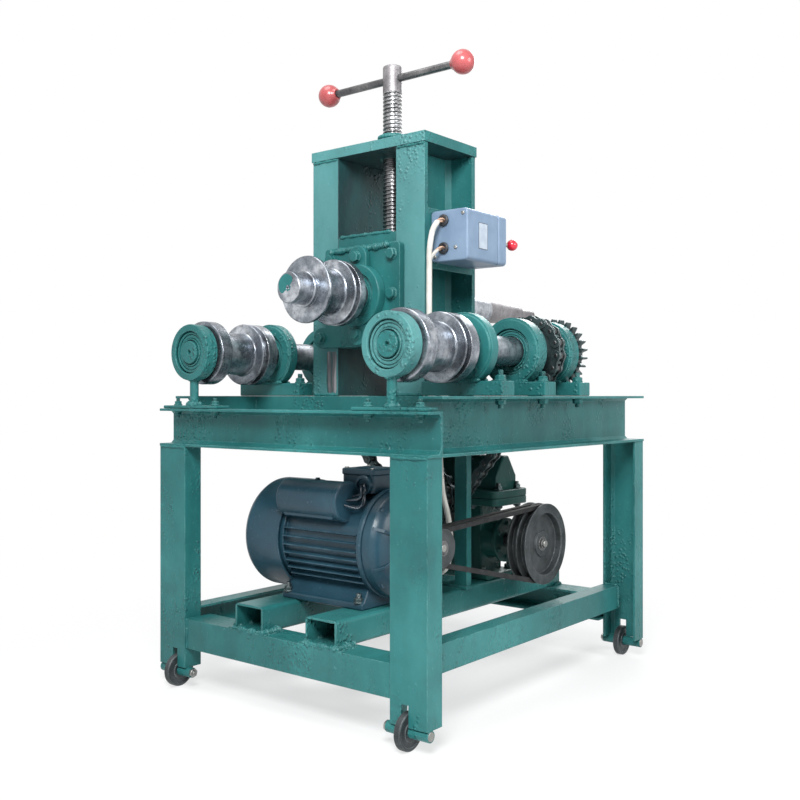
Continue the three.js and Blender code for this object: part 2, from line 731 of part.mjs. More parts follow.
// A cast bearing flange with a round boss and two lobes, and its bearing pressed in.
// Its foot lies on the carriage plate at seat, and its boss reaches out to face.
function bearingFlange(seat, face) {
  const way = Math.sign(face - seat);
  const foot = [seat, seat + way * FLANGE_FOOT_THICKNESS].sort((a, b) => a - b);
  const bore = bored(SHAFT_RADIUS + RUN, FINE);
  const boss = [
    [bore, seat], ...bearingFace(bore, BEARING_RADIUS, face, way),
    [FLANGE_BOSS_RADIUS - BLOCK_CHAMFER, face], [FLANGE_BOSS_RADIUS, face - way * BLOCK_CHAMFER],
    [FLANGE_BOSS_RADIUS, seat], [bore, seat],
  ];
  const lobes = [-1, 1].map((end) =>
    turnedY(rod(FLANGE_LOBE_RADIUS, ...foot), 0, SHAFT_HEIGHT + end * FLANGE_LOBE_SPAN, MEDIUM)
  );
  const span = [SHAFT_HEIGHT - FLANGE_LOBE_SPAN, SHAFT_HEIGHT + FLANGE_LOBE_SPAN];
  const spine = box([-FLANGE_LOBE_RADIUS, FLANGE_LOBE_RADIUS], foot, span);
  const middle = turnedY(rod(BEARING_RADIUS, ...stretched(foot)), 0, SHAFT_HEIGHT, MEDIUM);
  const plate = cut(join(spine, ...lobes), middle);
  return join(turnedY(boss, 0, SHAFT_HEIGHT, FINE), plate);
}

function stretched([low, high]) {
  return [low - OVERRUN, high + OVERRUN];
}

const FRONT_FLANGE_SEAT = FRONT_PLATE_FRONT - SEAT;
const FRONT_FLANGE_FACE = FRONT_FLANGE_SEAT - FLANGE_THICKNESS;
const REAR_FLANGE_SEAT = REAR_PLATE_BACK + SEAT;
const REAR_FLANGE_FACE = REAR_FLANGE_SEAT + REAR_FLANGE_THICKNESS;

add("carriage_block", carriageBlock(), enamel);
add("carriage_front_plate", carriagePlate(earedPlateShape(), FRONT_PLATE_FRONT, FRONT_PLATE_BACK), enamel);
add("carriage_rear_plate", carriagePlate(squarePlateShape(), REAR_PLATE_FRONT, REAR_PLATE_BACK), enamel);
add("front_bearing_flange", bearingFlange(FRONT_FLANGE_SEAT, FRONT_FLANGE_FACE), enamel);
add("rear_bearing_flange", bearingFlange(REAR_FLANGE_SEAT, REAR_FLANGE_FACE), enamel);

// Screw, tommy bar and knobs

function screw() {
  const foot = CARRIAGE_TOP + SEAT;
  const profile = [
    [0, CARRIAGE_TOP - SCREW_TAIL_LENGTH], [SCREW_TAIL_RADIUS, CARRIAGE_TOP - SCREW_TAIL_LENGTH],
    [SCREW_TAIL_RADIUS, foot], [SCREW_RADIUS, foot], [SCREW_RADIUS, foot + SCREW_LAND_HEIGHT],
    [SCREW_RADIUS, SCREW_HEAD_FOOT], [SCREW_RADIUS, SCREW_TOP - SCREW_CHAMFER],
    [SCREW_RADIUS - SCREW_CHAMFER, SCREW_TOP], [0, SCREW_TOP],
  ];
  const reach = SCREW_RADIUS + OVERRUN;
  const hole = turnedX(rod(bored(BAR_RADIUS + RUN, COARSE), -reach, reach), SCREW_Y, BAR_HEIGHT, COARSE);
  return cut(turnedZ(profile, 0, SCREW_Y), hole);
}

function knob(side) {
  const near = KNOB_CENTRE - KNOB_RADIUS;
  const [socket, bottom] = [bored(BAR_RADIUS + SEAT), near + KNOB_SOCKET];
  const profile = [[0, bottom], [socket, bottom], [socket, near], [KNOB_NECK, near]];
  const start = Math.PI - Math.asin(KNOB_NECK / KNOB_RADIUS);
  for (let i = 1; i < KNOB_STEPS; i += 1) {
    const angle = start * (1 - i / KNOB_STEPS);
    profile.push([KNOB_RADIUS * Math.sin(angle), KNOB_CENTRE + KNOB_RADIUS * Math.cos(angle)]);
  }
  profile.push([0, KNOB_CENTRE + KNOB_RADIUS]);
  return turnedX(profile.map(([r, at]) => [r, side * at]), SCREW_Y, BAR_HEIGHT, MEDIUM);
}

function tommyBar() {
  const reach = KNOB_CENTRE - KNOB_RADIUS + KNOB_SOCKET - SEAT;
  return turnedX(rod(BAR_RADIUS, -reach, reach), SCREW_Y, BAR_HEIGHT, COARSE);
}

add("lift_screw", screw(), steel);
add("tommy_bar", tommyBar(), steel);
addPair("knob", knob, coral);

// Shafts and rollers

// A bending roller: two rims, a deep barrel for the pipe, and a small groove behind it. Its
// steps are the places along the axis where each of these ends.
function roller(x, z, at) {
  const bore = bored(SHAFT_RADIUS + SEAT, FINE);
  const [rim, barrel, lip, collar] = [ROLLER_RADIUS, ROLLER_BARREL_RADIUS, ROLLER_LIP, ROLLER_COLLAR_RADIUS];
  const profile = [
    [bore, at.nose], [collar, at.nose], [collar, at.front], [rim - lip, at.front],
    [rim, at.front + lip], [rim, at.first_rim], [barrel, at.first_rim], [barrel, at.barrel],
    [rim, at.second_rim - lip], [rim, at.second_rim], [ROLLER_SMALL_GROOVE_RADIUS, at.second_rim],
    [ROLLER_SMALL_GROOVE_RADIUS, at.groove], [rim, at.groove], [rim, at.last_rim - lip],
    [rim - lip, at.last_rim], [bore, at.last_rim], [bore, at.nose],
  ];
  return turnedY(profile, x, z, FINE);
}

function upperShaft() {
  const nose = UPPER_NOSE;
  const profile = [
    [0, nose + CENTRE_HOLE_DEPTH], [CENTRE_HOLE_RADIUS, nose], [SHAFT_RADIUS - ROLLER_LIP, nose],
    [SHAFT_RADIUS, nose + ROLLER_LIP], [SHAFT_RADIUS, UPPER_TAPER_START],
    [UPPER_TAPER_RADIUS, UPPER_TAPER_END], [UPPER_STUB_RADIUS, UPPER_TAPER_END],
    [UPPER_STUB_RADIUS, UPPER_STUB_END], [0, UPPER_STUB_END],
  ];
  return turnedY(profile, 0, SHAFT_HEIGHT, MEDIUM);
}

const JOURNAL_END = (FRONT_HOUSING_FRONT + FRONT_HOUSING_LENGTH + LOWER_STEPS.front) / 2;
const TAIL_START = BLOCK_PLACES.second.disc[1] + OVERRUN;

function lowerShaft(x, end) {
  const nose = FRONT_HOUSING_FRONT;
  const profile = [
    [0, nose + CENTRE_HOLE_DEPTH], [CENTRE_HOLE_RADIUS, nose], [JOURNAL_RADIUS, nose],
    [JOURNAL_RADIUS, JOURNAL_END], [SHAFT_RADIUS, JOURNAL_END], [SHAFT_RADIUS, TAIL_START],
    [TAIL_RADIUS, TAIL_START], [TAIL_RADIUS, end], [0, end],
  ];
  return turnedY(profile, x, LOWER_HEIGHT, MEDIUM);
}

add("upper_shaft", upperShaft(), steel);
add("upper_roller", roller(0, SHAFT_HEIGHT, UPPER_STEPS), steel);
add("left_shaft", lowerShaft(-LOWER_SPACING, END_DISC_Y), steel);
add("left_roller", roller(-LOWER_SPACING, LOWER_HEIGHT, LOWER_STEPS), steel);
add("right_shaft", lowerShaft(LOWER_SPACING, END_DISC_Y + END_DISC_THICKNESS), steel);
add("right_roller", roller(LOWER_SPACING, LOWER_HEIGHT, LOWER_STEPS), steel);

// Housings of the lower shafts

const FRONT_BEAM_TOP = FRONT_BEAM_HEIGHT - BEAM_HEIGHT;

// A ring on a narrow post and a thin foot, on the front beam's upper flange, with its bearing
function frontHousing(side) {
  const x = side * LOWER_SPACING;
  const back = FRONT_HOUSING_FRONT + FRONT_HOUSING_LENGTH;
  const [front, chamfer, rim] = [FRONT_HOUSING_FRONT, BLOCK_CHAMFER, FRONT_HOUSING_RADIUS];
  const bore = bored(JOURNAL_RADIUS + RUN, FINE);
  const profile = [
    [bore, back], ...bearingFace(bore, FRONT_BEARING_RADIUS, front, -1),
    [rim - chamfer, front], [rim, front + chamfer], [rim, back], [bore, back],
  ];
  const foot = FRONT_BEAM_TOP + SEAT;
  const y = [-FRONT_BEAM_FLANGE + FRONT_FOOT_THICKNESS / 2, -FRONT_FOOT_THICKNESS / 2];
  const plate = box(
    [x - FRONT_FOOT_LENGTH / 2, x + FRONT_FOOT_LENGTH / 2], y, [foot, foot + FRONT_FOOT_THICKNESS]
  );
  const joinHeight = LOWER_HEIGHT - (rim + FRONT_BEARING_RADIUS) / 2;
  const post = box(
    [x - FRONT_POST_WIDTH / 2, x + FRONT_POST_WIDTH / 2],
    [front + chamfer, back - chamfer], [foot, joinHeight]
  );
  return join(turnedY(profile, x, LOWER_HEIGHT, FINE), post, plate);
}

// A plummer block cut from plate: a disc with its bearing, welded on a bar that is bolted down
function block(side, place) {
  const x = side * LOWER_SPACING;
  const [front, back] = place.disc;
  const [rim, step, chamfer] = [BLOCK_RADIUS, BLOCK_STEP, BLOCK_CHAMFER];
  const bore = bored((front < TAIL_START ? SHAFT_RADIUS : TAIL_RADIUS) + RUN, FINE);
  const profile = [
    [bore, back], ...bearingFace(bore, BEARING_RADIUS, front, -1),
    [rim - step - chamfer, front], [rim - step, front + chamfer], [rim, front + chamfer],
    [rim, back - chamfer], [rim - chamfer, back], [bore, back],
  ];
  const bar = box(
    [BLOCK_BAR_INNER, HALF_WIDTH].map((u) => side * u).sort((a, b) => a - b),
    [place.bar, place.bar + BLOCK_BAR_WIDTH], [SEAT, SEAT + BLOCK_BAR_HEIGHT]
  );
  return join(turnedY(profile, x, LOWER_HEIGHT, FINE), bar);
}

addPair("front_housing", frontHousing, enamel);
Object.entries(BLOCK_PLACES).forEach(([word, place]) => {
  addPair(`${word}_block`, (side) => block(side, place), enamel);
});

// Sprockets and chains

const SPROCKET_RADIUS = PITCH / (2 * Math.sin(Math.PI / TEETH));
const SPAN = (SPAN_LINKS + 1 / 2) * PITCH;
const TOOTH = (2 * Math.PI) / TEETH;

// The output shaft lies as far down as both chains are long, and both leave it at this angle
const OUTPUT_Z = LOWER_HEIGHT - Math.sqrt(SPAN ** 2 - LOWER_SPACING ** 2);
const CHAIN_ANGLE = Math.atan2(LOWER_HEIGHT - OUTPUT_Z, LOWER_SPACING);
const chainAngle = (side) => (side > 0 ? CHAIN_ANGLE : Math.PI - CHAIN_ANGLE);

// A toothed outline, with a flat seat for each chain roller and tapered teeth between them
function sprocketShape(x, z, phase) {
  const floor = SPROCKET_RADIUS - LINK_ROLLER_RADIUS - RUN;
  const tip = SPROCKET_RADIUS + TOOTH_RISE;
  const points = [];
  for (let i = 0; i < TEETH; i += 1) {
    const centre = phase + i * TOOTH;
    const corners = [[floor, -TOOTH_SEAT], [floor, TOOTH_SEAT]].map(([u, v]) => [
      u * Math.cos(centre) - v * Math.sin(centre), u * Math.sin(centre) + v * Math.cos(centre),
    ]);
    for (const turn of [centre + TOOTH / 2 - TOOTH_TIP, centre + TOOTH / 2 + TOOTH_TIP]) {
      corners.push([tip * Math.cos(turn), tip * Math.sin(turn)]);
    }
    corners.forEach(([u, v]) => points.push([x + u, z + v]));
  }
  return outline(points);
}

function sprocket(x, z, y, phase, bore, hubEnds) {
  const shape = sprocketShape(x, z, phase);
  const disc = prismY(shape, y - SPROCKET_WIDTH / 2, y + SPROCKET_WIDTH / 2);
  const hub = turnedY(rod(SPROCKET_HUB_RADIUS, ...hubEnds), x, z, MEDIUM);
  const hole = turnedY(rod(bore + SEAT, ...stretched(hubEnds)), x, z, MEDIUM);
  return cut(join(disc, hub), hole);
}

function spareSprocket() {
  const radius = SPARE_PITCH / (2 * Math.sin(Math.PI / SPARE_TEETH));
  const step = (2 * Math.PI) / SPARE_TEETH;
  const [root, tip] = [radius - SPARE_TOOTH_HEIGHT / 2, radius + SPARE_TOOTH_HEIGHT / 2];
  const points = [];
  for (let i = 0; i < SPARE_TEETH; i += 1) {
    [root, root, tip, tip].forEach((r, k) => {
      const angle = (i + SPARE_TOOTH_SHARES[k]) * step;
      points.push([LOWER_SPACING + r * Math.cos(angle), LOWER_HEIGHT + r * Math.sin(angle)]);
    });
  }
  const disc = prismY(outline(points), SPARE_Y - SPARE_WIDTH / 2, SPARE_Y + SPARE_WIDTH / 2);
  const ends = [SPARE_Y - SPARE_WIDTH / 2 - OVERRUN, SPARE_Y + SPARE_WIDTH / 2 + OVERRUN];
  const hole = turnedY(rod(TAIL_RADIUS + SEAT, ...ends), LOWER_SPACING, LOWER_HEIGHT, MEDIUM);
  return cut(disc, hole);
}

function endDisc() {
  const ends = [END_DISC_Y, END_DISC_Y + END_DISC_THICKNESS];
  const profile = ring(bored(TAIL_RADIUS + SEAT, FINE), END_DISC_RADIUS, ...ends);
  return turnedY(profile, LOWER_SPACING, LOWER_HEIGHT, FINE);
}

const halfRow = LINK_INNER_WIDTH / 2 + 2 * LINK_PLATE + SEAT;
const rowHub = (y) => [y - halfRow, y + halfRow];
const outputSprocketEnds = [LEFT_ROW_Y - SPROCKET_WIDTH / 2, RIGHT_ROW_Y + SPROCKET_WIDTH / 2];

function outputSprocket() {
  const row = (y, side) =>
    sprocket(0, OUTPUT_Z, y, chainAngle(side) + Math.PI / 2, OUTPUT_SHAFT_RADIUS, outputSprocketEnds);
  return join(row(RIGHT_ROW_Y, 1), row(LEFT_ROW_Y, -1));
}

function shaftSprocket(side, y) {
  const phase = chainAngle(side) + (Math.PI + TOOTH) / 2;
  return sprocket(side * LOWER_SPACING, LOWER_HEIGHT, y, phase, TAIL_RADIUS, rowHub(y));
}

// The places of a chain's pins, in order round the output sprocket and one shaft's sprocket
function chainPins(side) {
  const pins = [];
  const angle = chainAngle(side);
  const turn = angle + Math.PI / 2;
  const [run, reach] = [[Math.cos(angle), Math.sin(angle)], [Math.cos(turn), Math.sin(turn)]];
  const x = side * LOWER_SPACING;
  const strand = (startX, startZ, way, first) => {
    for (let i = first; i < first + SPAN_LINKS + 1; i += 1) {
      const s = i * PITCH * way;
      const t = SPROCKET_RADIUS * way;
      pins.push([startX + run[0] * s + reach[0] * t, startZ + run[1] * s + reach[1] * t]);
    }
  };
  const wrap = (centreX, centreZ, from, count) => {
    for (let i = 0; i < count; i += 1) {
      const at = from - i * TOOTH;
      pins.push([centreX + SPROCKET_RADIUS * Math.cos(at), centreZ + SPROCKET_RADIUS * Math.sin(at)]);
    }
  };
  strand(0, OUTPUT_Z, 1, 0);
  wrap(x, LOWER_HEIGHT, turn - TOOTH / 2, TEETH / 2);
  strand(x, LOWER_HEIGHT, -1, 1 / 2);
  wrap(0, OUTPUT_Z, turn + Math.PI - TOOTH, TEETH / 2 - 1);
  return pins;
}

// A loop of the chain's course at an offset from its pitch line, drawn in (x, z)
function chainLoop(side, offset) {
  const radius = SPROCKET_RADIUS + offset;
  const turn = chainAngle(side) + Math.PI / 2;
  return outline([
    ...arc(side * LOWER_SPACING, LOWER_HEIGHT, radius, turn, turn - Math.PI, TEETH / 2),
    ...arc(0, OUTPUT_Z, radius, turn - Math.PI, turn - 2 * Math.PI, TEETH / 2),
  ]);
}

// A roller chain: its plates as two closed loops, with a roller between them at each joint
function chain(side, y) {
  const inner = LINK_INNER_WIDTH / 2;
  const width = 2 * LINK_PLATE + SEAT;
  const strips = [-1, 1].map((way) => {
    const span = [y + way * inner, y + way * (inner + width)].sort((a, b) => a - b);
    const inside = prismY(chainLoop(side, -LINK_HALF_HEIGHT), ...stretched(span));
    return cut(prismY(chainLoop(side, LINK_HALF_HEIGHT), ...span), inside);
  });
  const reach = inner + WELD;
  const rollers = chainPins(side).map((pin) =>
    turnedY(rod(LINK_ROLLER_RADIUS, y - reach, y + reach), ...pin, PIN_SIDES)
  );
  return join(...strips, ...rollers);
}

add("left_sprocket", shaftSprocket(-1, LEFT_ROW_Y), darkSteel);
add("right_sprocket", shaftSprocket(1, RIGHT_ROW_Y), darkSteel);
add("spare_sprocket", spareSprocket(), darkSteel);
add("right_end_disc", endDisc(), darkSteel);
add("output_sprocket", outputSprocket(), darkSteel);
add("right_chain", chain(1, RIGHT_ROW_Y), darkSteel);
add("left_chain", chain(-1, LEFT_ROW_Y), darkSteel);

// Worm reducer

const reducerFoot = MOTOR_RAIL_TOP + SEAT;
const splitGap = SEAT / 2;
const wheelTip = OUTPUT_Z - WORM_HEIGHT - WORM_RADIUS - RUN;

// A slab centred on the reducer
function reducerSlab(halfX, halfY, z) {
  return box([-halfX, halfX], [REDUCER_Y - halfY, REDUCER_Y + halfY], z);
}

// The cover's section, drawn in (y, z): upright walls and a steep roof, at an inset from its faces
function coverSection(inset, foot) {
  const half = COVER_HALF_WIDTH - inset;
  const [eave, ridge] = [REDUCER_EAVE - inset / 2, REDUCER_RIDGE - inset];
  return outline([
    [REDUCER_Y - half, foot], [REDUCER_Y + half, foot], [REDUCER_Y + half, eave],
    [REDUCER_Y + REDUCER_RIDGE_HALF, ridge], [REDUCER_Y - REDUCER_RIDGE_HALF, ridge],
    [REDUCER_Y - half, eave],
  ]);
}

// The bore for the output shaft, from in front of the case to short of its back wall
function outputBore() {
  const ends = [REDUCER_Y - REDUCER_FLANGE_WIDTH - OVERRUN, REDUCER_Y + COVER_HALF_WIDTH - REDUCER_WALL / 2];
  return turnedY(rod(bored(OUTPUT_SHAFT_RADIUS + RUN), ...ends), 0, OUTPUT_Z, MEDIUM);
}

function reducerCase() {
  const top = OUTPUT_Z - splitGap;
  const pieces = [
    reducerSlab(CASE_HALF_LENGTH, COVER_HALF_WIDTH, [reducerFoot, top]),
    reducerSlab(REDUCER_FLANGE_HALF, REDUCER_FLANGE_WIDTH, [top - REDUCER_FLANGE_THICKNESS, top]),
    reducerSlab(REDUCER_FOOT_HALF, REDUCER_FOOT_FRONT, [reducerFoot, reducerFoot + REDUCER_FOOT_THICKNESS]),
    turnedX(rod(WORM_BOSS_RADIUS, -WORM_BOSS_REACH, WORM_BOSS_REACH), REDUCER_Y, WORM_HEIGHT, MEDIUM),
  ];
  const room = reducerSlab(
    CASE_HALF_LENGTH - REDUCER_WALL, COVER_HALF_WIDTH - REDUCER_WALL,
    [WORM_HEIGHT - WORM_RADIUS - REDUCER_WALL, top + OVERRUN]
  );
  const wormBore = turnedX(
    rod(bored(WORM_SHAFT_RADIUS + RUN), -WORM_BOSS_REACH + REDUCER_WALL, WORM_BOSS_REACH + OVERRUN),
    REDUCER_Y, WORM_HEIGHT, MEDIUM
  );
  return cut(join(...pieces), room, wormBore, outputBore());
}

function reducerCover() {
  const foot = OUTPUT_Z + splitGap;
  const inner = COVER_HALF_LENGTH - REDUCER_WALL;
  const body = join(
    prismX(coverSection(0, foot), -COVER_HALF_LENGTH, COVER_HALF_LENGTH),
    reducerSlab(REDUCER_FLANGE_HALF, REDUCER_FLANGE_WIDTH, [foot, foot + REDUCER_FLANGE_THICKNESS])
  );
  return cut(body, prismX(coverSection(REDUCER_WALL, foot - OVERRUN), -inner, inner), outputBore());
}

// The output shaft with its worm wheel, whose teeth stop just short of the worm
function outputShaft() {
  const root = wheelTip - WORM_TOOTH_DEPTH;
  const step = (2 * Math.PI) / WORM_WHEEL_TEETH;
  const points = [];
  for (let i = 0; i < WORM_WHEEL_TEETH; i += 1) {
    [root, wheelTip, wheelTip, root].forEach((r, k) => {
      const angle = (i + WORM_TOOTH_SHARES[k]) * step;
      points.push([r * Math.cos(angle), OUTPUT_Z + r * Math.sin(angle)]);
    });
  }
  const half = WORM_WHEEL_WIDTH / 2;
  const wheelDisc = prismY(outline(points), REDUCER_Y - half, REDUCER_Y + half);
  const ends = [outputSprocketEnds[0] - OVERRUN, REDUCER_Y + COVER_HALF_WIDTH - REDUCER_WALL];
  return join(wheelDisc, turnedY(rod(OUTPUT_SHAFT_RADIUS, ...ends), 0, OUTPUT_Z, MEDIUM));
}

const PULLEY_BACK = PULLEY_FACE - 2 * GROOVE_SPACING - RIM_WIDTH;

function wormShaft() {
  const ends = [-WORM_BOSS_REACH + REDUCER_WALL + RUN, PULLEY_FACE - PULLEY_DISH + RIM_WIDTH];
  const half = WORM_LENGTH / 2;
  const profile = [
    [0, ends[0]], [WORM_SHAFT_RADIUS, ends[0]], [WORM_SHAFT_RADIUS, -half], [WORM_RADIUS, -half],
    [WORM_RADIUS, half], [WORM_SHAFT_RADIUS, half], [WORM_SHAFT_RADIUS, ends[1]], [0, ends[1]],
  ];
  return turnedX(profile, REDUCER_Y, WORM_HEIGHT, MEDIUM);
}

add("reducer_case", reducerCase(), castIron);
add("reducer_cover", reducerCover(), castIron);
add("output_shaft", outputShaft(), steel);
add("worm_shaft", wormShaft(), steel);

// Pulleys and belts

// The grooved rim of a two-groove pulley, from its face back
function grooveProfile(radius) {
  const profile = [];
  const floor = radius - GROOVE_DEPTH;
  for (let i = 0; i < 2; i += 1) {
    const face = PULLEY_FACE - i * GROOVE_SPACING;
    const [start, end] = [face - RIM_WIDTH, face - GROOVE_SPACING];
    profile.push([radius, face], [radius, start], [floor, start], [floor, end]);
  }
  const last = PULLEY_FACE - 2 * GROOVE_SPACING;
  profile.push([radius, last], [radius, PULLEY_BACK]);
  return profile;
}

function bigPulley() {
  const bore = bored(WORM_SHAFT_RADIUS + SEAT, FINE);
  const inner = BIG_PULLEY_RADIUS - PULLEY_RIM_WALL;
  const dish = PULLEY_FACE - PULLEY_DISH;
  const profile = [
    [bore, dish + RIM_WIDTH], [PULLEY_HUB_RADIUS, dish + RIM_WIDTH], [PULLEY_HUB_RADIUS, dish],
    [inner, dish], [inner, PULLEY_FACE], ...grooveProfile(BIG_PULLEY_RADIUS),
    [bore, PULLEY_BACK], [bore, dish + RIM_WIDTH],
  ];
  return turnedX(profile, REDUCER_Y, WORM_HEIGHT, FINE);
}

function motorPulley() {
  const bore = MOTOR_SHAFT_RADIUS + SEAT;
  const profile = [
    [bore, PULLEY_FACE], ...grooveProfile(MOTOR_PULLEY_RADIUS), [bore, PULLEY_BACK], [bore, PULLEY_FACE],
  ];
  return turnedX(profile, MOTOR_Y, MOTOR_HEIGHT, MEDIUM);
}

// The outline round both pulleys at an offset from their rims, drawn in (y, z)
function beltOutline(offset) {
  const [r1, r2] = [MOTOR_PULLEY_RADIUS + offset, BIG_PULLEY_RADIUS + offset];
  const [dy, dz] = [REDUCER_Y - MOTOR_Y, WORM_HEIGHT - MOTOR_HEIGHT];
  const lean = Math.asin((r2 - r1) / Math.hypot(dy, dz));
  const line = Math.atan2(dz, dy);
  const [top, bottom] = [line + Math.PI / 2 + lean, line - Math.PI / 2 - lean];
  return outline([
    ...arc(MOTOR_Y, MOTOR_HEIGHT, r1, top, bottom + 2 * Math.PI, COARSE),
    ...arc(REDUCER_Y, WORM_HEIGHT, r2, bottom, top, COARSE + ARC_STEPS),
  ]);
}

function belt(row) {
  const face = PULLEY_FACE - row * GROOVE_SPACING;
  const span = [face - GROOVE_SPACING + RUN, face - RIM_WIDTH - RUN];
  const inside = prismX(beltOutline(-RUN - BELT_DEPTH), ...stretched(span));
  return cut(prismX(beltOutline(-RUN), ...span), inside);
}

add("big_pulley", bigPulley(), castIron);
add("motor_pulley", motorPulley(), castIron);
add("outer_belt", belt(0), rubber);
add("inner_belt", belt(1), rubber);

// Motor

const bellEnd = MOTOR_BODY_RIGHT + END_BELL_LENGTH;
const coverEnd = MOTOR_BODY_LEFT - FAN_COVER_LENGTH;
const motorFoot = MOTOR_RAIL_TOP + SEAT;
const capacitorY = MOTOR_Y - CAPACITOR_SETBACK;
const capacitorZ = MOTOR_HEIGHT + CAPACITOR_LIFT;

// The finned shell: one toothed outline, with its cast foot and a bore for the shaft
function motorShell() {
  const points = [];
  const step = (2 * Math.PI) / FIN_COUNT;
  const tip = MOTOR_RADIUS + FIN_HEIGHT;
  for (let i = 0; i < FIN_COUNT; i += 1) {
    const centre = (i + 1 / 2) * step;
    const half = FIN_THICKNESS / 2;
    [[MOTOR_RADIUS, -half], [tip, -half], [tip, half], [MOTOR_RADIUS, half]].forEach(([r, t]) => {
      const [c, s] = [Math.cos(centre), Math.sin(centre)];
      points.push([MOTOR_Y + r * c - t * s, MOTOR_HEIGHT + r * s + t * c]);
    });
  }
  const shell = prismX(outline(points), MOTOR_BODY_LEFT, MOTOR_BODY_RIGHT);
  const x = [MOTOR_BODY_LEFT + FAN_COVER_LAP + SEAT, MOTOR_BODY_RIGHT];
  const base = outline([
    [MOTOR_Y - MOTOR_FOOT_SPREAD, motorFoot], [MOTOR_Y + MOTOR_FOOT_SPREAD, motorFoot],
    [MOTOR_Y + MOTOR_FOOT_SPREAD, motorFoot + MOTOR_FOOT_HEIGHT],
    [MOTOR_Y + MOTOR_FOOT_HALF, MOTOR_HEIGHT - MOTOR_FOOT_HALF],
    [MOTOR_Y - MOTOR_FOOT_HALF, MOTOR_HEIGHT - MOTOR_FOOT_HALF],
    [MOTOR_Y - MOTOR_FOOT_SPREAD, motorFoot + MOTOR_FOOT_HEIGHT],
  ]);
  const ends = stretched([MOTOR_BODY_LEFT, MOTOR_BODY_RIGHT]);
  const bore = turnedX(rod(bored(MOTOR_SHAFT_RADIUS + RUN), ...ends), MOTOR_Y, MOTOR_HEIGHT);
  return cut(join(shell, prismX(base, ...x)), bore, terminalSeat(), capacitorSeat());
}

// The room cut out of the fins for the terminal box
function terminalSeat() {
  const { length, width, height, centre } = TERMINAL_BOX;
  const [halfX, halfY, top] = [length / 2 + SEAT, width / 2 + SEAT, MOTOR_HEIGHT + MOTOR_RADIUS];
  return box([centre - halfX, centre + halfX], [MOTOR_Y - halfY, MOTOR_Y + halfY], [top, top + height]);
}

// The room cut out of the fins for the capacitor's can
function capacitorSeat() {
  const ends = [MOTOR_BODY_LEFT - OVERRUN, CAPACITOR_ENDS[1] + SEAT];
  return turnedX(rod(bored(CAPACITOR_RADIUS + SEAT), ...ends), capacitorY, capacitorZ);
}

function endBell() {
  const start = MOTOR_BODY_RIGHT + SEAT;
  const bore = bored(MOTOR_SHAFT_RADIUS + RUN, FINE);
  const shoulder = END_BELL_LENGTH * END_BELL_SHARES.shoulder;
  const slope = END_BELL_LENGTH * END_BELL_SHARES.slope;
  const nose = END_BELL_LENGTH * END_BELL_SHARES.nose;
  const profile = [
    [bore, start], [END_BELL_RADIUS, start], [END_BELL_RADIUS, start + shoulder],
    [END_BELL_RADIUS - shoulder, bellEnd - slope], [END_BELL_NOSE + slope, bellEnd - nose],
    [END_BELL_NOSE, bellEnd], [bore, bellEnd], [bore, start],
  ];
  return turnedX(profile, MOTOR_Y, MOTOR_HEIGHT, FINE);
}

// The pressed cover over the fan, with a ring of slots in its end
function fanCover() {
  const start = MOTOR_BODY_LEFT + FAN_COVER_LAP;
  const wall = FAN_COVER_WALL;
  const inside = bored(MOTOR_RADIUS + FIN_HEIGHT + RUN, FINE);
  const r = inside + wall;
  const round = FIN_HEIGHT;
  const bevel = round * (1 - Math.SQRT1_2);
  const profile = [
    [0, coverEnd], [r - round, coverEnd], [r - bevel, coverEnd + bevel],
    [r, coverEnd + round], [r, start], [inside, start], [inside, coverEnd + round],
    [r - round, coverEnd + wall], [0, coverEnd + wall],
  ];
  const shell = turnedX(profile, MOTOR_Y, MOTOR_HEIGHT, FINE);
  const slots = [];
  for (let i = 0; i < FAN_COVER_HOLES; i += 1) {
    const slot = box(
      [coverEnd - OVERRUN, coverEnd + wall + OVERRUN], [-FAN_SLOT_WIDTH / 2, FAN_SLOT_WIDTH / 2],
      [FAN_HUB_RADIUS, r - 2 * round]
    );
    slots.push(slot.rotateX((i * 2 * Math.PI) / FAN_COVER_HOLES).translate(0, MOTOR_Y, MOTOR_HEIGHT));
  }
  return cut(shell, ...slots);
}

const FAN_CENTRE = (MOTOR_BODY_LEFT + coverEnd) / 2;

// The shaft, from the fan on the cover side through the shell to the pulley
function motorShaft() {
  const left = FAN_CENTRE - FAN_WIDTH / 2;
  const profile = rod(MOTOR_SHAFT_RADIUS, left, PULLEY_FACE - SEAT);
  return turnedX(profile, MOTOR_Y, MOTOR_HEIGHT, MEDIUM);
}

function coolingFan() {
  const [low, high] = [FAN_CENTRE - FAN_WIDTH / 2, FAN_CENTRE + FAN_WIDTH / 2];
  const hub = turnedX(ring(MOTOR_SHAFT_RADIUS + SEAT, FAN_HUB_RADIUS, low, high), 0, 0, MEDIUM);
  const blades = [];
  for (let i = 0; i < FAN_BLADES; i += 1) {
    const blade = box(
      [low, high], [-FAN_BLADE_WALL / 2, FAN_BLADE_WALL / 2], [FAN_BLADE_ROOT, FAN_RADIUS]
    );
    blades.push(blade.rotateX((i * 2 * Math.PI) / FAN_BLADES));
  }
  return join(hub, ...blades).translate(0, MOTOR_Y, MOTOR_HEIGHT);
}

const terminalFoot = MOTOR_HEIGHT + MOTOR_RADIUS + SEAT;

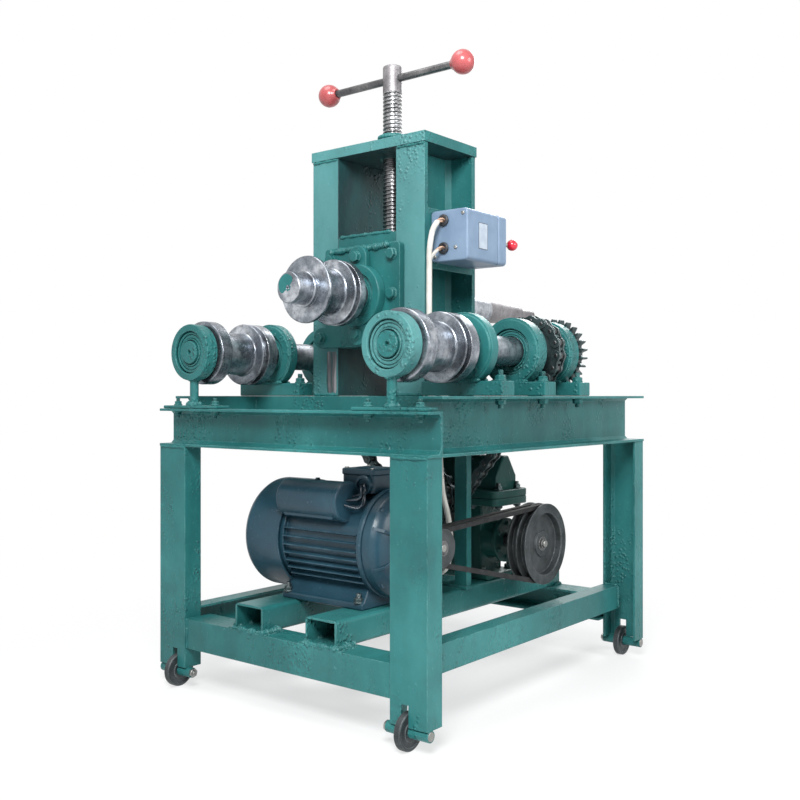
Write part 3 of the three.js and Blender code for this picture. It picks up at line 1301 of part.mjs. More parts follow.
function terminalBox() {
  const { length, width, height, centre } = TERMINAL_BOX;
  const shape = roundedRectangle(
    [centre - length / 2, centre + length / 2], [MOTOR_Y - width / 2, MOTOR_Y + width / 2], BOX_CORNER
  );
  const base = prismZ(shape, terminalFoot, terminalFoot + height * TERMINAL_BASE_SHARE);
  const inset = TERMINAL_LID_INSET;
  const lid = roundedRectangle(
    [centre - length / 2 + inset, centre + length / 2 - inset],
    [MOTOR_Y - width / 2 + inset, MOTOR_Y + width / 2 - inset], BOX_CORNER
  );
  return join(base, prismZ(lid, terminalFoot, terminalFoot + height));
}

// The start capacitor in its round can, let into the fins on the upper front of the shell
function capacitor() {
  const [low, high] = CAPACITOR_ENDS;
  const [r, edge] = [CAPACITOR_RADIUS, SCREW_CHAMFER];
  const profile = [[0, low], [r - edge, low], [r, low + edge], [r, high - edge], [r - edge, high], [0, high]];
  return turnedX(profile, capacitorY, capacitorZ, MEDIUM);
}

add("motor_shell", motorShell(), navy);
add("motor_end_bell", endBell(), navy);
add("fan_cover", fanCover(), navy);
add("cooling_fan", coolingFan(), rubber);
add("motor_shaft", motorShaft(), steel);
add("terminal_box", terminalBox(), navy);
add("start_capacitor", capacitor(), navy);

// Switch box and lever

const grommetHeights = Object.values(GROMMET_HEIGHTS);

// A hollow case, rounded along its long edges, with two grommets in front and the lever's hole behind
function switchBox() {
  const outer = roundedRectangle([BOX_LEFT, BOX_RIGHT], [BOX_FOOT, BOX_TOP], BOX_CORNER);
  const inner = roundedRectangle(
    [BOX_LEFT + BOX_WALL, BOX_RIGHT - BOX_WALL], [BOX_FOOT + BOX_WALL, BOX_TOP - BOX_WALL],
    BOX_CORNER - BOX_WALL
  );
  const room = prismY(inner, BOX_FRONT + BOX_WALL, BOX_BACK - BOX_WALL);
  const back = rod(bored(LEVER_RADIUS + RUN, COARSE), ...stretched([BOX_BACK - BOX_WALL, BOX_BACK]));
  const leverHole = turnedY(back, LEVER_SIDE, LEVER_HEIGHT, COARSE);
  const ends = [BOX_FRONT - GROMMET_LENGTH, BOX_FRONT + BOX_WALL];
  const grommets = grommetHeights.map((z) => turnedY(rod(GROMMET_RADIUS, ...ends), GROMMET_SIDE, z, COARSE));
  const holes = grommetHeights.map((z) =>
    turnedY(rod(bored(CABLE_RADIUS + RUN, COARSE), ...stretched(ends)), GROMMET_SIDE, z, COARSE)
  );
  return cut(join(prismY(outer, BOX_FRONT, BOX_BACK), ...grommets), room, leverHole, ...holes);
}

// The lever: a spindle out of the back of the box, a cranked arm and a ball
function switchLever() {
  const back = BOX_BACK;
  const bend = back + LEVER_REACH / 2;
  const ballY = back + LEVER_REACH;
  const arm = tube(
    [
      [LEVER_SIDE, back - BOX_WALL - 2 * OVERRUN, LEVER_HEIGHT], [LEVER_SIDE, back + OVERRUN, LEVER_HEIGHT],
      [LEVER_SIDE + LEVER_ARM * LEVER_BEND_SHARE, bend, LEVER_HEIGHT],
      [LEVER_SIDE + LEVER_ARM, ballY, LEVER_HEIGHT],
    ],
    LEVER_RADIUS, PIN_SIDES, COARSE
  );
  const ball = closed(new THREE.SphereGeometry(LEVER_BALL_RADIUS, MEDIUM / 2, PIN_SIDES));
  ball.translate(LEVER_SIDE + LEVER_ARM, ballY, LEVER_HEIGHT);
  return join(arm, ball);
}

add("switch_box", switchBox(), boxPaint);
add("switch_lever", switchLever(), red);

// The cable from the switch box to the motor: out of the upper grommet, down beside the column,
// through the table, and round behind the motor to its terminal box. A second lead from the lower
// grommet joins it.
const CABLE_ROUTE = [
  [178, 226, 334], [178, 221, 334], [178, 215, 334], [175, 208, 330], [168, 203, 316], [163, 202, 296],
  [160, 202, 272], [159, 203, 245], [158, 204, 200], [158, 204, 150], [157, 205, 105], [154, 212, 70],
  [152, 227, 38], [151, 241, 5], [151, 246, -60], [152, 248, -130], [156, 250, -185], [167, 250, -225],
  [174, 250, -265], [172, 252, -305], [158, 256, -335], [133, 262, -347], [108, 266, -335], [84, 268, -300],
  [66, 267, -255], [56, 256, -212], [54, 236, -180], [55, 214, -163], [56, 198, -160], [56, 185.4, -160],
];
const LEAD_ROUTE = [
  [178, 226, 281], [178, 221, 281], [178, 215, 281], [175, 208, 277], [170, 204, 270], [163, 203, 262],
  [159, 203, 252],
];

function motorCable() {
  const main = tube(CABLE_ROUTE, CABLE_RADIUS, COARSE, CABLE_STEPS);
  const lead = tube(LEAD_ROUTE, LEAD_RADIUS, COARSE, COARSE);
  return join(main, lead);
}

add("motor_cable", motorCable(), whitePvc);

// Stand the machine on the floor, with the origin under the middle of its box
const frontReach = FRONT_WHEEL_Y - WHEEL_RADIUS;
machine.position.set(0, -(frontReach + UPPER_STUB_END) / 2, TABLE_HEIGHT);

export default machine;
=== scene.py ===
"""An electric pipe bending machine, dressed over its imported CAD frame.

Pieces are drawn in millimetres in the machine's own axes: x across, y from the front beam to the back,
h over the table top. place() turns such a point into the frame's metres.
"""

import math
import random

import bmesh
import bpy
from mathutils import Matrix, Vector


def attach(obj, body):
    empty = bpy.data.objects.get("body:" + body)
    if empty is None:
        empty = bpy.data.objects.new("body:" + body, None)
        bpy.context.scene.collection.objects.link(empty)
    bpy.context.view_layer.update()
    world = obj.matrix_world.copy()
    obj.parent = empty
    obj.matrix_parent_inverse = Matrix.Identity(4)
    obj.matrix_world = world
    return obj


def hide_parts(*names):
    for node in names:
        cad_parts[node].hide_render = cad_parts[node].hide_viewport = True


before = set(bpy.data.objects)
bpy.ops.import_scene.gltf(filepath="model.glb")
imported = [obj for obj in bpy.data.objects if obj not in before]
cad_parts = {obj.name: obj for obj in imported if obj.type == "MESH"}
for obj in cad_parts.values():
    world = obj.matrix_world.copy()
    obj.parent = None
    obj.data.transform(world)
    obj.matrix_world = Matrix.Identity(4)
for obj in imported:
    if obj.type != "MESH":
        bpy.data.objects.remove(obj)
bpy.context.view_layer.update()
random.seed(7)

MIDDLE_Y = 384.5
TABLE = 578
TAU = 2 * math.pi
SIDES = (("left", -1), ("right", 1))
UPPER_H = 198.6
LOWER_X, LOWER_H = 252, 86
# Where an axis passes: (x, h) along y, (x, y) along h, and (y, h) along x
UPPER_AXIS = (0, UPPER_H)
SCREW_AXIS = (0, 288)
BAR_AXIS = (288, 653)
WORM_AXIS = (506, -309)
MOTOR_AXIS = (145, -275)


def place(p):
    return Vector((p[0] / 1000, (p[1] - MIDDLE_Y) / 1000, (p[2] + TABLE) / 1000))


# Camera, floor and light

def make_camera():
    data = bpy.data.cameras.new("camera")
    data.lens, data.sensor_width = 44.37, 36
    data.shift_y = -0.005
    camera = bpy.data.objects.new("camera", data)
    camera.location = (1.2857, -1.6768, 0.578)
    camera.rotation_euler = (math.radians(90), 0, math.radians(38.7))
    bpy.context.collection.objects.link(camera)
    bpy.context.scene.camera = camera


def area_lamp(name, at, target, size, power):
    data = bpy.data.lights.new(name, "AREA")
    data.shape, data.size, data.energy = "DISK", size, power
    lamp = bpy.data.objects.new(name, data)
    lamp.location = at
    lamp.rotation_euler = (Vector(target) - Vector(at)).to_track_quat("-Z", "Y").to_euler()
    bpy.context.collection.objects.link(lamp)


def feed(tree, socket, value):
    """Links an output to the socket, or sets it to a number, a colour or a vector."""
    if isinstance(value, bpy.types.NodeSocket):
        tree.links.new(value, socket)
    elif socket.type == "RGBA":
        socket.default_value = (*value, 1)
    else:
        socket.default_value = value


def add_node(tree, kind, inputs, **settings):
    """A shader node with its settings, and its inputs by name or number."""
    node = tree.nodes.new("ShaderNode" + kind)
    for name, value in settings.items():
        setattr(node, name, value)
    for name, value in inputs.items():
        feed(tree, node.inputs[name], value)
    return node


def seen_directly(tree):
    """1 for camera, glossy and transmission rays, which see the white background."""
    path = add_node(tree, "LightPath", {}).outputs
    value = path["Is Camera Ray"]
    for name in ("Is Transmission Ray", "Is Glossy Ray"):
        value = add_node(tree, "Math", {0: value, 1: path[name]}, operation="MAXIMUM").outputs[0]
    return value


def make_world():
    world = bpy.data.worlds.new("studio")
    bpy.context.scene.world = world
    world.use_nodes = True
    tree = world.node_tree
    tree.nodes.clear()
    lit = add_node(tree, "Background", {"Color": (0.95, 0.98, 1), "Strength": 0.24})
    white = add_node(tree, "Background", {"Color": (1, 1, 1), "Strength": 1})
    mix = add_node(tree, "MixShader", {0: seen_directly(tree), 1: lit.outputs[0], 2: white.outputs[0]})
    add_node(tree, "OutputWorld", {"Surface": mix.outputs[0]})


def make_floor():
    """A white floor: lit paper under the machine, fading to the plain white of the background."""
    mesh = bpy.data.meshes.new("floor")
    r = 12
    mesh.from_pydata([(-r, -r, 0), (r, -r, 0), (r, r, 0), (-r, r, 0)], [], [(0, 1, 2, 3)])
    floor = bpy.data.objects.new("floor", mesh)
    bpy.context.collection.objects.link(floor)
    material = bpy.data.materials.new("floor_paper")
    material.use_nodes = True
    tree = material.node_tree
    paper = tree.nodes["Principled BSDF"]
    feed(tree, paper.inputs["Base Color"], (0.94, 0.945, 0.95))
    feed(tree, paper.inputs["Roughness"], 0.9)
    feed(tree, paper.inputs["Specular IOR Level"], 0.1)
    white = add_node(tree, "Emission", {"Color": (1, 1, 1), "Strength": 1})
    place_on_floor = add_node(tree, "TexCoord", {}).outputs["Object"]
    distance = add_node(tree, "VectorMath", {0: place_on_floor}, operation="LENGTH").outputs["Value"]
    limits = {"From Min": 0.35, "From Max": 1.15, "To Min": 0.62, "To Max": 1.0}
    fade = add_node(tree, "MapRange", {"Value": distance, **limits}, interpolation_type="SMOOTHSTEP")
    lightened = {0: fade.outputs["Result"], 1: seen_directly(tree)}
    amount = add_node(tree, "Math", lightened, operation="MULTIPLY")
    mix = add_node(tree, "MixShader", {0: amount.outputs[0], 1: paper.outputs[0], 2: white.outputs[0]})
    feed(tree, tree.nodes["Material Output"].inputs["Surface"], mix.outputs[0])
    mesh.materials.append(material)


make_camera()
make_world()
make_floor()
area_lamp("key", (1.15, -1.75, 1.85), (0.1, -0.1, 0.7), 0.9, 62)
area_lamp("side", (2.9, 0.2, 1.5), (0, 0, 0.6), 1.4, 36)
area_lamp("back", (-0.8, 2.9, 2.4), (0, 0, 0.8), 1.6, 45)
area_lamp("above", (-0.3, -0.9, 3.2), (0, 0, 0.3), 1.6, 34)

bpy.context.scene.view_settings.view_transform = "Standard"


# Materials

class Look:
    """A Principled material whose colour, roughness and bump come from noise in object space."""

    def __init__(self, name, metallic=0.0, roughness=0.5, coat=0.0, specular=0.5):
        self.material = bpy.data.materials.new(name)
        self.material.use_nodes = True
        self.tree = self.material.node_tree
        self.put("Metallic", metallic)
        self.put("Roughness", roughness)
        self.put("Specular IOR Level", specular)
        self.put("Coat Weight", coat)
        self.put("Coat Roughness", 0.12)
        self.place = self.add("TexCoord", {}).outputs["Object"]

    def put(self, name, value):
        feed(self.tree, self.tree.nodes["Principled BSDF"].inputs[name], value)

    def add(self, kind, inputs, **settings):
        return add_node(self.tree, kind, inputs, **settings)

    def noise(self, scale, detail=4, rough=0.55, stretch=None):
        place = self.place
        if stretch:
            place = self.add("Mapping", {"Vector": place, "Scale": stretch}).outputs["Vector"]
        inputs = {"Vector": place, "Scale": scale, "Detail": detail, "Roughness": rough}
        return self.add("TexNoise", inputs).outputs["Fac"]

    def graded(self, factor, stops):
        node = self.add("ValToRGB", {"Fac": factor})
        elements = node.color_ramp.elements
        while len(elements) < len(stops):
            elements.new(0.5)
        for element, (at, color) in zip(elements, stops):
            element.position, element.color = at, (*color, 1)
        return node.outputs["Color"]

    def mask(self, factor, low, high, end=1.0, start=0.0):
        """Grey from start to end between two values of the factor."""
        return self.graded(factor, [(low, (start,) * 3), (high, (end,) * 3)])

    def mixed(self, factor, a, b, kind="MIX"):
        return self.add("Mix", {"Factor": factor, 6: a, 7: b}, data_type="RGBA", blend_type=kind).outputs[2]

    def times(self, a, b, kind="MULTIPLY"):
        return self.add("Math", {0: a, 1: b}, operation=kind).outputs[0]

    def rough(self, factor, low, high):
        node = self.add("MapRange", {"Value": factor, "To Min": low, "To Max": high})
        self.put("Roughness", node.outputs["Result"])

    def rounded_normal(self, radius):
        return self.add("Bevel", {"Radius": radius}, samples=4).outputs["Normal"]

    def bump(self, height, strength, distance, radius=0.0):
        node = self.add("Bump", {"Strength": strength, "Distance": distance, "Height": height})
        if radius:
            feed(self.tree, node.inputs["Normal"], self.rounded_normal(radius))
        self.put("Normal", node.outputs["Normal"])

    def worn_edges(self, radius, low=0.02, high=0.16):
        """A mask of the sharp edges, where a rounded normal leaves the flat one."""
        flat = self.add("NewGeometry", {}).outputs["Normal"]
        dot = self.add("VectorMath", {0: self.rounded_normal(radius), 1: flat}, operation="DOT_PRODUCT")
        return self.mask(self.times(1.0, dot.outputs["Value"], "SUBTRACT"), low, high)


def axis_mask(look, axis, limit, kind, absolute=False):
    """1 where a coordinate of the surface is under or over the limit, broken up by noise."""
    value = look.add("SeparateXYZ", {0: look.place}).outputs["XYZ".index(axis)]
    if absolute:
        value = look.times(value, 0, "ABSOLUTE")
    broken = look.mask(look.noise(13, 5, 0.65, (1, 1, 0.4)), 0.3, 0.6, start=0.62)
    return look.times(look.times(value, limit, kind), broken)


def enamel(name, deep, mid, pale, dust, radius=0.0022, painted_shade=None, lightened=None):
    """Thick brushed enamel: cloudy green, orange peel, patches of paint bubbles, rubbed edges and grime, with
    an optional zone of painted shade (near-black) and one of painted sheen (paler green).
    """
    look = Look(name, 0.0, 0.36, coat=0.04, specular=0.26)
    base = look.graded(look.noise(3.1, 5, 0.6), [(0.32, deep), (0.5, mid), (0.68, pale)])
    streak = look.mask(look.noise(9, 4, 0.6, (1, 1, 0.22)), 0.35, 0.62, 1.08, 0.80)
    base = look.mixed(1.0, base, streak, "MULTIPLY")
    grime = look.mask(look.noise(7.3, 6, 0.72), 0.52, 0.7, 0.42)
    base = look.mixed(grime, base, (0.022, 0.075, 0.078))
    patchy = look.mask(look.noise(26, 5, 0.7), 0.42, 0.6, 0.75)
    base = look.mixed(look.mixed(1.0, look.worn_edges(radius), patchy, "MULTIPLY"), base, dust)
    base = look.mixed(look.mask(look.noise(160, 3, 0.6), 0.66, 0.76, 0.35), base, dust)
    blister = look.add("TexVoronoi", {"Vector": look.place, "Scale": 130}).outputs["Distance"]
    where = look.mask(look.noise(9, 5, 0.75, (1, 1, 0.5)), 0.5, 0.6)
    bubbles = look.times(look.mask(blister, 0.08, 0.5, 0.0, 1.0), where)
    base = look.mixed(look.times(bubbles, 0.22), base, pale)
    # A painted sheen: the zone is mixed halfway towards a pale green, as where light falls on it
    if lightened:
        base = look.mixed(look.times(axis_mask(look, *lightened), 0.5), base, (0.15, 0.36, 0.37))
    # Painted shade: the zone is mixed towards a near-black green, as where shade falls
    if painted_shade:
        base = look.mixed(look.times(axis_mask(look, *painted_shade), 0.86), base, (0.018, 0.034, 0.040))
    look.put("Base Color", base)
    look.rough(look.noise(14, 4), 0.27, 0.52)
    peel = look.times(look.noise(75, 3, 0.5), 0.35)
    height = look.times(look.times(peel, look.noise(11, 2, 0.5), "ADD"), look.times(bubbles, 1.9), "ADD")
    look.bump(height, 0.8, 0.0018, radius)
    return look.material


def along_axis(axis, across, along):
    """A noise's scale along one axis and across it."""
    scale = [across] * 3
    scale[axis] = along
    return tuple(scale)


def lathe_steel(name, axis, dark, mid, bright, rough=(0.2, 0.45), rings=900):
    """Turned steel: fine rings round its axis, smudges of old oil, and brighter rubbed bands."""
    look = Look(name, 0.88, 0.32)
    lines = look.noise(rings / 60, 3, 0.6, along_axis(axis, 0.6, 26))
    patches = look.noise(17, 6, 0.68)
    stain = look.noise(48, 5, 0.7)
    base = look.graded(patches, [(0.3, dark), (0.5, mid), (0.66, bright)])
    shade = look.graded(lines, [(0.3, (0.72,) * 3), (0.55, (1.0,) * 3), (0.75, (1.14,) * 3)])
    base = look.mixed(0.85, base, shade, "MULTIPLY")
    base = look.mixed(look.mask(stain, 0.58, 0.74, 0.5), base, (0.13, 0.105, 0.10))
    base = look.mixed(1.0, base, look.mask(look.noise(190, 4, 0.75), 0.3, 0.46, start=0.45), "MULTIPLY")
    base = look.mixed(look.times(look.worn_edges(0.0012, 0.015, 0.12), 0.7), base, (0.78, 0.78, 0.79))
    look.put("Base Color", base)
    look.rough(patches, *rough)
    thread = look.noise(rings / 28, 2, 0.5, along_axis(axis, 1.0, 60))
    look.bump(look.times(thread, look.times(stain, 0.4), "ADD"), 0.28, 0.0006, 0.0008)
    return look.material


def dark_metal(name, low, high, grit, rough, metallic, bump=0.0008):
    """Cast or oiled metal: cloudy, with spots of grit and lightly rubbed edges."""
    look = Look(name, metallic)
    cloud = look.noise(21, 6, 0.65)
    base = look.graded(cloud, [(0.35, low), (0.65, high)])
    base = look.mixed(look.mask(look.noise(95, 4, 0.7), 0.6, 0.75, 0.55), base, grit)
    base = look.mixed(look.times(look.worn_edges(0.0009, 0.015, 0.12), 0.55), base, (0.42, 0.47, 0.48))
    look.put("Base Color", base)
    look.rough(cloud, *rough)
    look.bump(look.noise(120, 4, 0.6), 0.5, bump, 0.0012)
    return look.material


def motor_paint(name):
    """Smooth dark blue paint with dust and lighter edges."""
    look = Look(name, 0.0, 0.36, coat=0.12, specular=0.35)
    base = look.graded(look.noise(6, 5, 0.6), [
        (0.33, (0.010, 0.038, 0.058)), (0.52, (0.016, 0.056, 0.084)), (0.68, (0.028, 0.080, 0.116))])
    patchy = look.mask(look.noise(40, 5, 0.7), 0.45, 0.6, 0.6)
    worn = look.mixed(1.0, look.worn_edges(0.0016), patchy, "MULTIPLY")
    base = look.mixed(worn, base, (0.19, 0.29, 0.36))
    base = look.mixed(look.mask(look.noise(130, 3, 0.6), 0.64, 0.78, 0.3), base, (0.16, 0.24, 0.3))
    look.put("Base Color", base)
    look.rough(look.noise(15, 4), 0.26, 0.5)
    height = look.times(look.noise(60, 3), look.times(look.noise(160, 2), 0.5), "ADD")
    look.bump(height, 0.4, 0.0011, 0.0012)
    return look.material


def plastic(name, deep, pale, rough=(0.18, 0.34), coat=0.4, bump=0.0004, scale=30):
    look = Look(name, 0.0, 0.3, coat=coat)
    look.put("Base Color", look.graded(look.noise(scale, 4, 0.55), [(0.35, deep), (0.65, pale)]))
    look.rough(look.noise(scale * 2.2, 3), *rough)
    look.bump(look.noise(scale * 6, 3), 0.25, bump, 0.0008)
    return look.material


def rubber(name):
    look = Look(name, 0.0, 0.8, specular=0.3)
    look.put("Base Color", look.graded(look.noise(35, 5, 0.7), [
        (0.35, (0.012, 0.012, 0.013)), (0.62, (0.03, 0.031, 0.032)), (0.75, (0.07, 0.07, 0.068))]))
    look.rough(look.noise(60), 0.6, 0.9)
    look.bump(look.noise(240, 3), 0.5, 0.0005)
    return look.material


def rubbed_paint(name):
    """Green paint scraped through to bare steel in upright streaks."""
    look = Look(name, 0.35, 0.42)
    streak = look.noise(95, 4, 0.65, (1, 1, 0.06))
    look.put("Base Color", look.graded(streak, [
        (0.40, (0.030, 0.110, 0.112)), (0.5, (0.17, 0.16, 0.17)), (0.62, (0.42, 0.40, 0.42))]))
    look.rough(streak, 0.3, 0.55)
    look.bump(streak, 0.3, 0.0004)
    return look.material


GREEN_TONES = (0.012, 0.098, 0.100), (0.022, 0.150, 0.150), (0.040, 0.205, 0.203), (0.17, 0.40, 0.39)
# Limits in metres of the painted shade (inside the columns, under the roof) and the painted sheen (their
# front faces)
FACE_OF_COLUMNS, INSIDE_OF_COLUMNS = -0.1788, 0.0768
FACE_OF_ROOF, UNDER_ROOF = -0.1812, 1.0656

GREEN = enamel("green_enamel", *GREEN_TONES)
# Painted shade inside the columns and under the roof, and a painted sheen on their front faces
COLUMN = enamel("column_enamel", *GREEN_TONES, painted_shade=("X", INSIDE_OF_COLUMNS, "LESS_THAN", True),
                lightened=("Y", FACE_OF_COLUMNS, "LESS_THAN"))
ROOF = enamel("top_plate_enamel", *GREEN_TONES, painted_shade=("Z", UNDER_ROOF, "LESS_THAN"),
              lightened=("Y", FACE_OF_ROOF, "LESS_THAN"))
# A painted sheen: a paler copy of the green enamel, for the bearing ring that faces the light
SHEEN_GREEN = enamel("sheen_painted_green_enamel", (0.034, 0.150, 0.152), (0.062, 0.215, 0.217), (0.095, 0.28, 0.28),
              (0.26, 0.50, 0.49))
CASTING = enamel("green_casting", (0.010, 0.062, 0.055), (0.016, 0.090, 0.080), (0.026, 0.120, 0.108),
                 (0.08, 0.22, 0.20), 0.003)
STEEL_Y = lathe_steel("turned_steel_y", 1, (0.105, 0.12, 0.145), (0.26, 0.285, 0.32), (0.66, 0.69, 0.74),
                      (0.16, 0.4))
STEEL_Z = lathe_steel("turned_steel_z", 2, (0.10, 0.10, 0.105), (0.22, 0.22, 0.225), (0.46, 0.46, 0.47))
STEEL_X = lathe_steel("turned_steel_x", 0, (0.07, 0.07, 0.075), (0.15, 0.15, 0.155), (0.30, 0.29, 0.29))
TAPER = lathe_steel("rough_turned_steel", 1, (0.15, 0.145, 0.15), (0.26, 0.25, 0.26), (0.38, 0.37, 0.38),
                    (0.35, 0.6), 500)
CHAIN = dark_metal("oily_chain_steel", (0.026, 0.042, 0.045), (0.085, 0.125, 0.130), (0.24, 0.29, 0.29),
                   (0.28, 0.5), 0.7)
LINK_STEEL = dark_metal("rubbed_chain_steel", (0.05, 0.05, 0.052), (0.14, 0.14, 0.14), (0.03, 0.025, 0.02),
                        (0.2, 0.45), 0.9)
IRON = dark_metal("grey_cast_iron", (0.035, 0.042, 0.045), (0.085, 0.095, 0.10), (0.17, 0.18, 0.18),
                  (0.4, 0.65), 0.65)
ZINC = dark_metal("zinc_bolt_steel", (0.22, 0.22, 0.21), (0.42, 0.42, 0.40), (0.14, 0.10, 0.07),
                  (0.25, 0.5), 0.9, 0.0004)
NAVY = motor_paint("navy_motor_paint")
BARE = rubbed_paint("scraped_paint")
CORAL = plastic("coral_plastic", (0.36, 0.060, 0.064), (0.46, 0.092, 0.097), (0.2, 0.36), 0.25)
RED = plastic("red_plastic", (0.52, 0.006, 0.020), (0.68, 0.014, 0.040), (0.15, 0.3), 0.6)
BOX = plastic("box_paint", (0.150, 0.222, 0.325), (0.185, 0.265, 0.374), (0.3, 0.5), 0.1, 0.0009, 22)
LABEL = plastic("blank_label", (0.36, 0.42, 0.50), (0.44, 0.50, 0.57), (0.3, 0.45), 0.1, 0.0002, 60)
WIRE = plastic("wire_insulation", (0.42, 0.25, 0.17), (0.62, 0.42, 0.30), (0.3, 0.5), 0.05, 0.0002, 60)
BLACK_WIRE = plastic("motor_lead_insulation", (0.012, 0.022, 0.034), (0.03, 0.05, 0.07), (0.2, 0.35), 0.3,
                     0.0002, 60)
SHEATH = plastic("white_sheath", (0.50, 0.49, 0.45), (0.64, 0.63, 0.59), (0.35, 0.55), 0.05, 0.0004, 40)
GLAND = plastic("black_grommet", (0.010, 0.011, 0.014), (0.030, 0.032, 0.038), (0.35, 0.6), 0.05)
BELT = rubber("belt_rubber")
FAN = plastic("fan_plastic", (0.02, 0.02, 0.022), (0.045, 0.045, 0.05), (0.4, 0.6), 0.0)


# Shapes: each returns (points, faces) in millimetres

def polar(centre, radius, angle):
    return centre[0] + radius * math.cos(angle), centre[1] + radius * math.sin(angle)


def circle(centre, radius, count):
    return [polar(centre, radius, TAU * k / count) for k in range(count)]


def loop(centre, radius, h, count):
    """A level circle whose last point is its first."""
    return [(*polar(centre, radius, TAU * k / count), h) for k in range(count + 1)]


def along(axis, u, v, at):
    """A point at 'at' along the axis, and (u, v) across it."""
    return {"x": (at, u, v), "y": (u, at, v), "z": (u, v, at)}[axis]


def grid_faces(rows, columns, closed_rows=False):
    faces = []
    for i in range(rows if closed_rows else rows - 1):
        for j in range(columns):
            a, b = i * columns + j, i * columns + (j + 1) % columns
            c, d = ((i + 1) % rows) * columns + (j + 1) % columns, ((i + 1) % rows) * columns + j
            faces.append((a, b, c, d))
    return faces


def end_faces(rows, columns):
    return [tuple(range(columns - 1, -1, -1)), tuple(range((rows - 1) * columns, rows * columns))]


def prism_faces(count):
    faces = [tuple(range(count)), tuple(range(2 * count - 1, count - 1, -1))]
    return faces + [(j, (j + 1) % count, count + (j + 1) % count, count + j) for j in range(count)]


def lathe(profile, axis, centre, sides=72):
    """A closed or axis-to-axis profile of (radius, place) turned round an axis."""
    points = [along(axis, u, v, at) for radius, at in profile for u, v in circle(centre, radius, sides)]
    return points, grid_faces(len(profile), sides)


def block(x, y, h):
    points = [(x[i], y[j], h[k]) for i in (0, 1) for j in (0, 1) for k in (0, 1)]
    faces = [(0, 1, 3, 2), (4, 6, 7, 5), (0, 4, 5, 1), (2, 3, 7, 6), (0, 2, 6, 4), (1, 5, 7, 3)]
    return points, faces


def prism(outline, axis, low, high):
    points = [along(axis, u, v, at) for at in (low, high) for u, v in outline]
    return points, prism_faces(len(outline))


def arc(centre, radius, start, end, steps):
    return [polar(centre, radius, start + (end - start) * i / steps) for i in range(steps + 1)]


def rounded(u, v, r, steps=6):
    """The outline of a rectangle with round corners."""
    q = math.pi / 2
    corners = (((u[0] + r, v[0] + r), 2), ((u[1] - r, v[0] + r), 3), ((u[1] - r, v[1] - r), 0),
               ((u[0] + r, v[1] - r), 1))
    return [p for centre, k in corners for p in arc(centre, r, k * q, (k + 1) * q, steps)]


def smooth_path(points, steps):
    """A Catmull-Rom line through the points."""
    pts = [Vector(p) for p in points]
    pts = [2 * pts[0] - pts[1]] + pts + [2 * pts[-1] - pts[-2]]
    out = []
    for i in range(1, len(pts) - 2):
        a, b, c, d = pts[i - 1:i + 3]
        for k in range(steps):
            t = k / steps
            out.append(0.5 * (2 * b + (c - a) * t + (2 * a - 5 * b + 4 * c - d) * t * t
                              + (3 * b - a - 3 * c + d) * t ** 3))
    return out + [pts[-2]]


def tube(path, radius, sides=16):
    """A round tube along a path; radius is a number or a function of the share of the way and the angle."""
    path = [Vector(p) for p in path]
    count = len(path)
    points = []
    up = Vector((0, 0, 1))
    tangent = (path[1] - path[0]).normalized()
    if abs(tangent.dot(up)) > 0.9:
        up = Vector((1, 0, 0))
    normal = (up - tangent * up.dot(tangent)).normalized()
    for i, p in enumerate(path):
        ahead = (path[min(i + 1, count - 1)] - path[max(i - 1, 0)]).normalized()
        normal = (normal - ahead * normal.dot(ahead)).normalized()
        side = ahead.cross(normal)
        for k in range(sides):
            angle = TAU * k / sides
            r = radius(i / (count - 1), angle) if callable(radius) else radius
            points.append(tuple(p + (normal * math.cos(angle) + side * math.sin(angle)) * r))
    return points, grid_faces(count, sides) + end_faces(count, sides)


def weld(points, size, ripple=3.2, rough=0.35):
    """A bead of weld metal along a line: overlapping ripples, uneven in width."""
    spacing = 1.1
    pts = [Vector(p) for p in points]
    path = []
    for a, b in zip(pts, pts[1:]):
        steps = max(2, int((b - a).length / spacing))
        path += [a.lerp(b, i / steps) for i in range(steps)]
    path.append(pts[-1])
    count = len(path)
    phase = random.random() * 9
    drift = [1 + rough * 0.5 * math.sin(i * 0.23 + phase) + rough * (random.random() - 0.5)
             for i in range(count)]

    def radius(share, angle):
        i = min(count - 1, int(share * (count - 1) + 0.5))
        end = min(1, (i + 2) / 5, (count + 1 - i) / 5)
        step = (i * spacing / ripple + 0.2 * math.cos(angle) + phase) % 1
        return size * drift[i] * end * (0.8 + 0.32 * math.sqrt(step))

    return tube(path, radius, 10)


def merged(parts):
    points, faces = [], []
    for more, those in parts:
        base = len(points)
        points += more
        faces += [tuple(base + i for i in f) for f in those]
    return points, faces


def bolt(at, axis, way, flats=19, head=9, washer=True, stub=0, turn=0.3):
    """A hexagon head, chamfered on top, on a washer; stub is a threaded end beyond it."""
    index = "xyz".index(axis)
    start = at[index]
    centre = at[:index] + at[index + 1:]
    parts = []
    if washer:
        rim, thick = flats * 0.62 + 0.3, way * 2.4
        profile = [(0, start), (flats * 0.62, start), (rim, start + way * 0.4), (rim, start + way * 2),
                   (flats * 0.6, start + thick), (0, start + thick)]
        parts.append(lathe(profile, axis, centre, 28))
        start += thick
    top = start + way * head
    hexagon = [polar(centre, flats / math.sqrt(3), turn + TAU * k / 6) for k in range(6)]
    parts.append(prism(hexagon, axis, min(start, top - way), max(start, top - way)))
    crown = [(0, top - way * 1.6), (flats * 0.5 + 0.5, top - way * 1.6), (flats * 0.47, top), (0, top)]
    parts.append(lathe(crown, axis, centre, 28))
    if stub:
        r = flats * 0.31
        ends = [(0, top - way)]
        for k in range(stub):
            ends += [(r, top + way * (k + 0.15)), (r - 0.7, top + way * (k + 0.65))]
        ends += [(r - 1, top + way * stub), (0, top + way * stub)]
        parts.append(lathe(ends, axis, centre, 20))
    return merged(parts)


def set_bolt(at, axis, way, flats=19, head=9, washer=True, stub=0):
    """A bolt tightened to any angle."""
    return bolt(at, axis, way, flats, head, washer, stub, random.random())


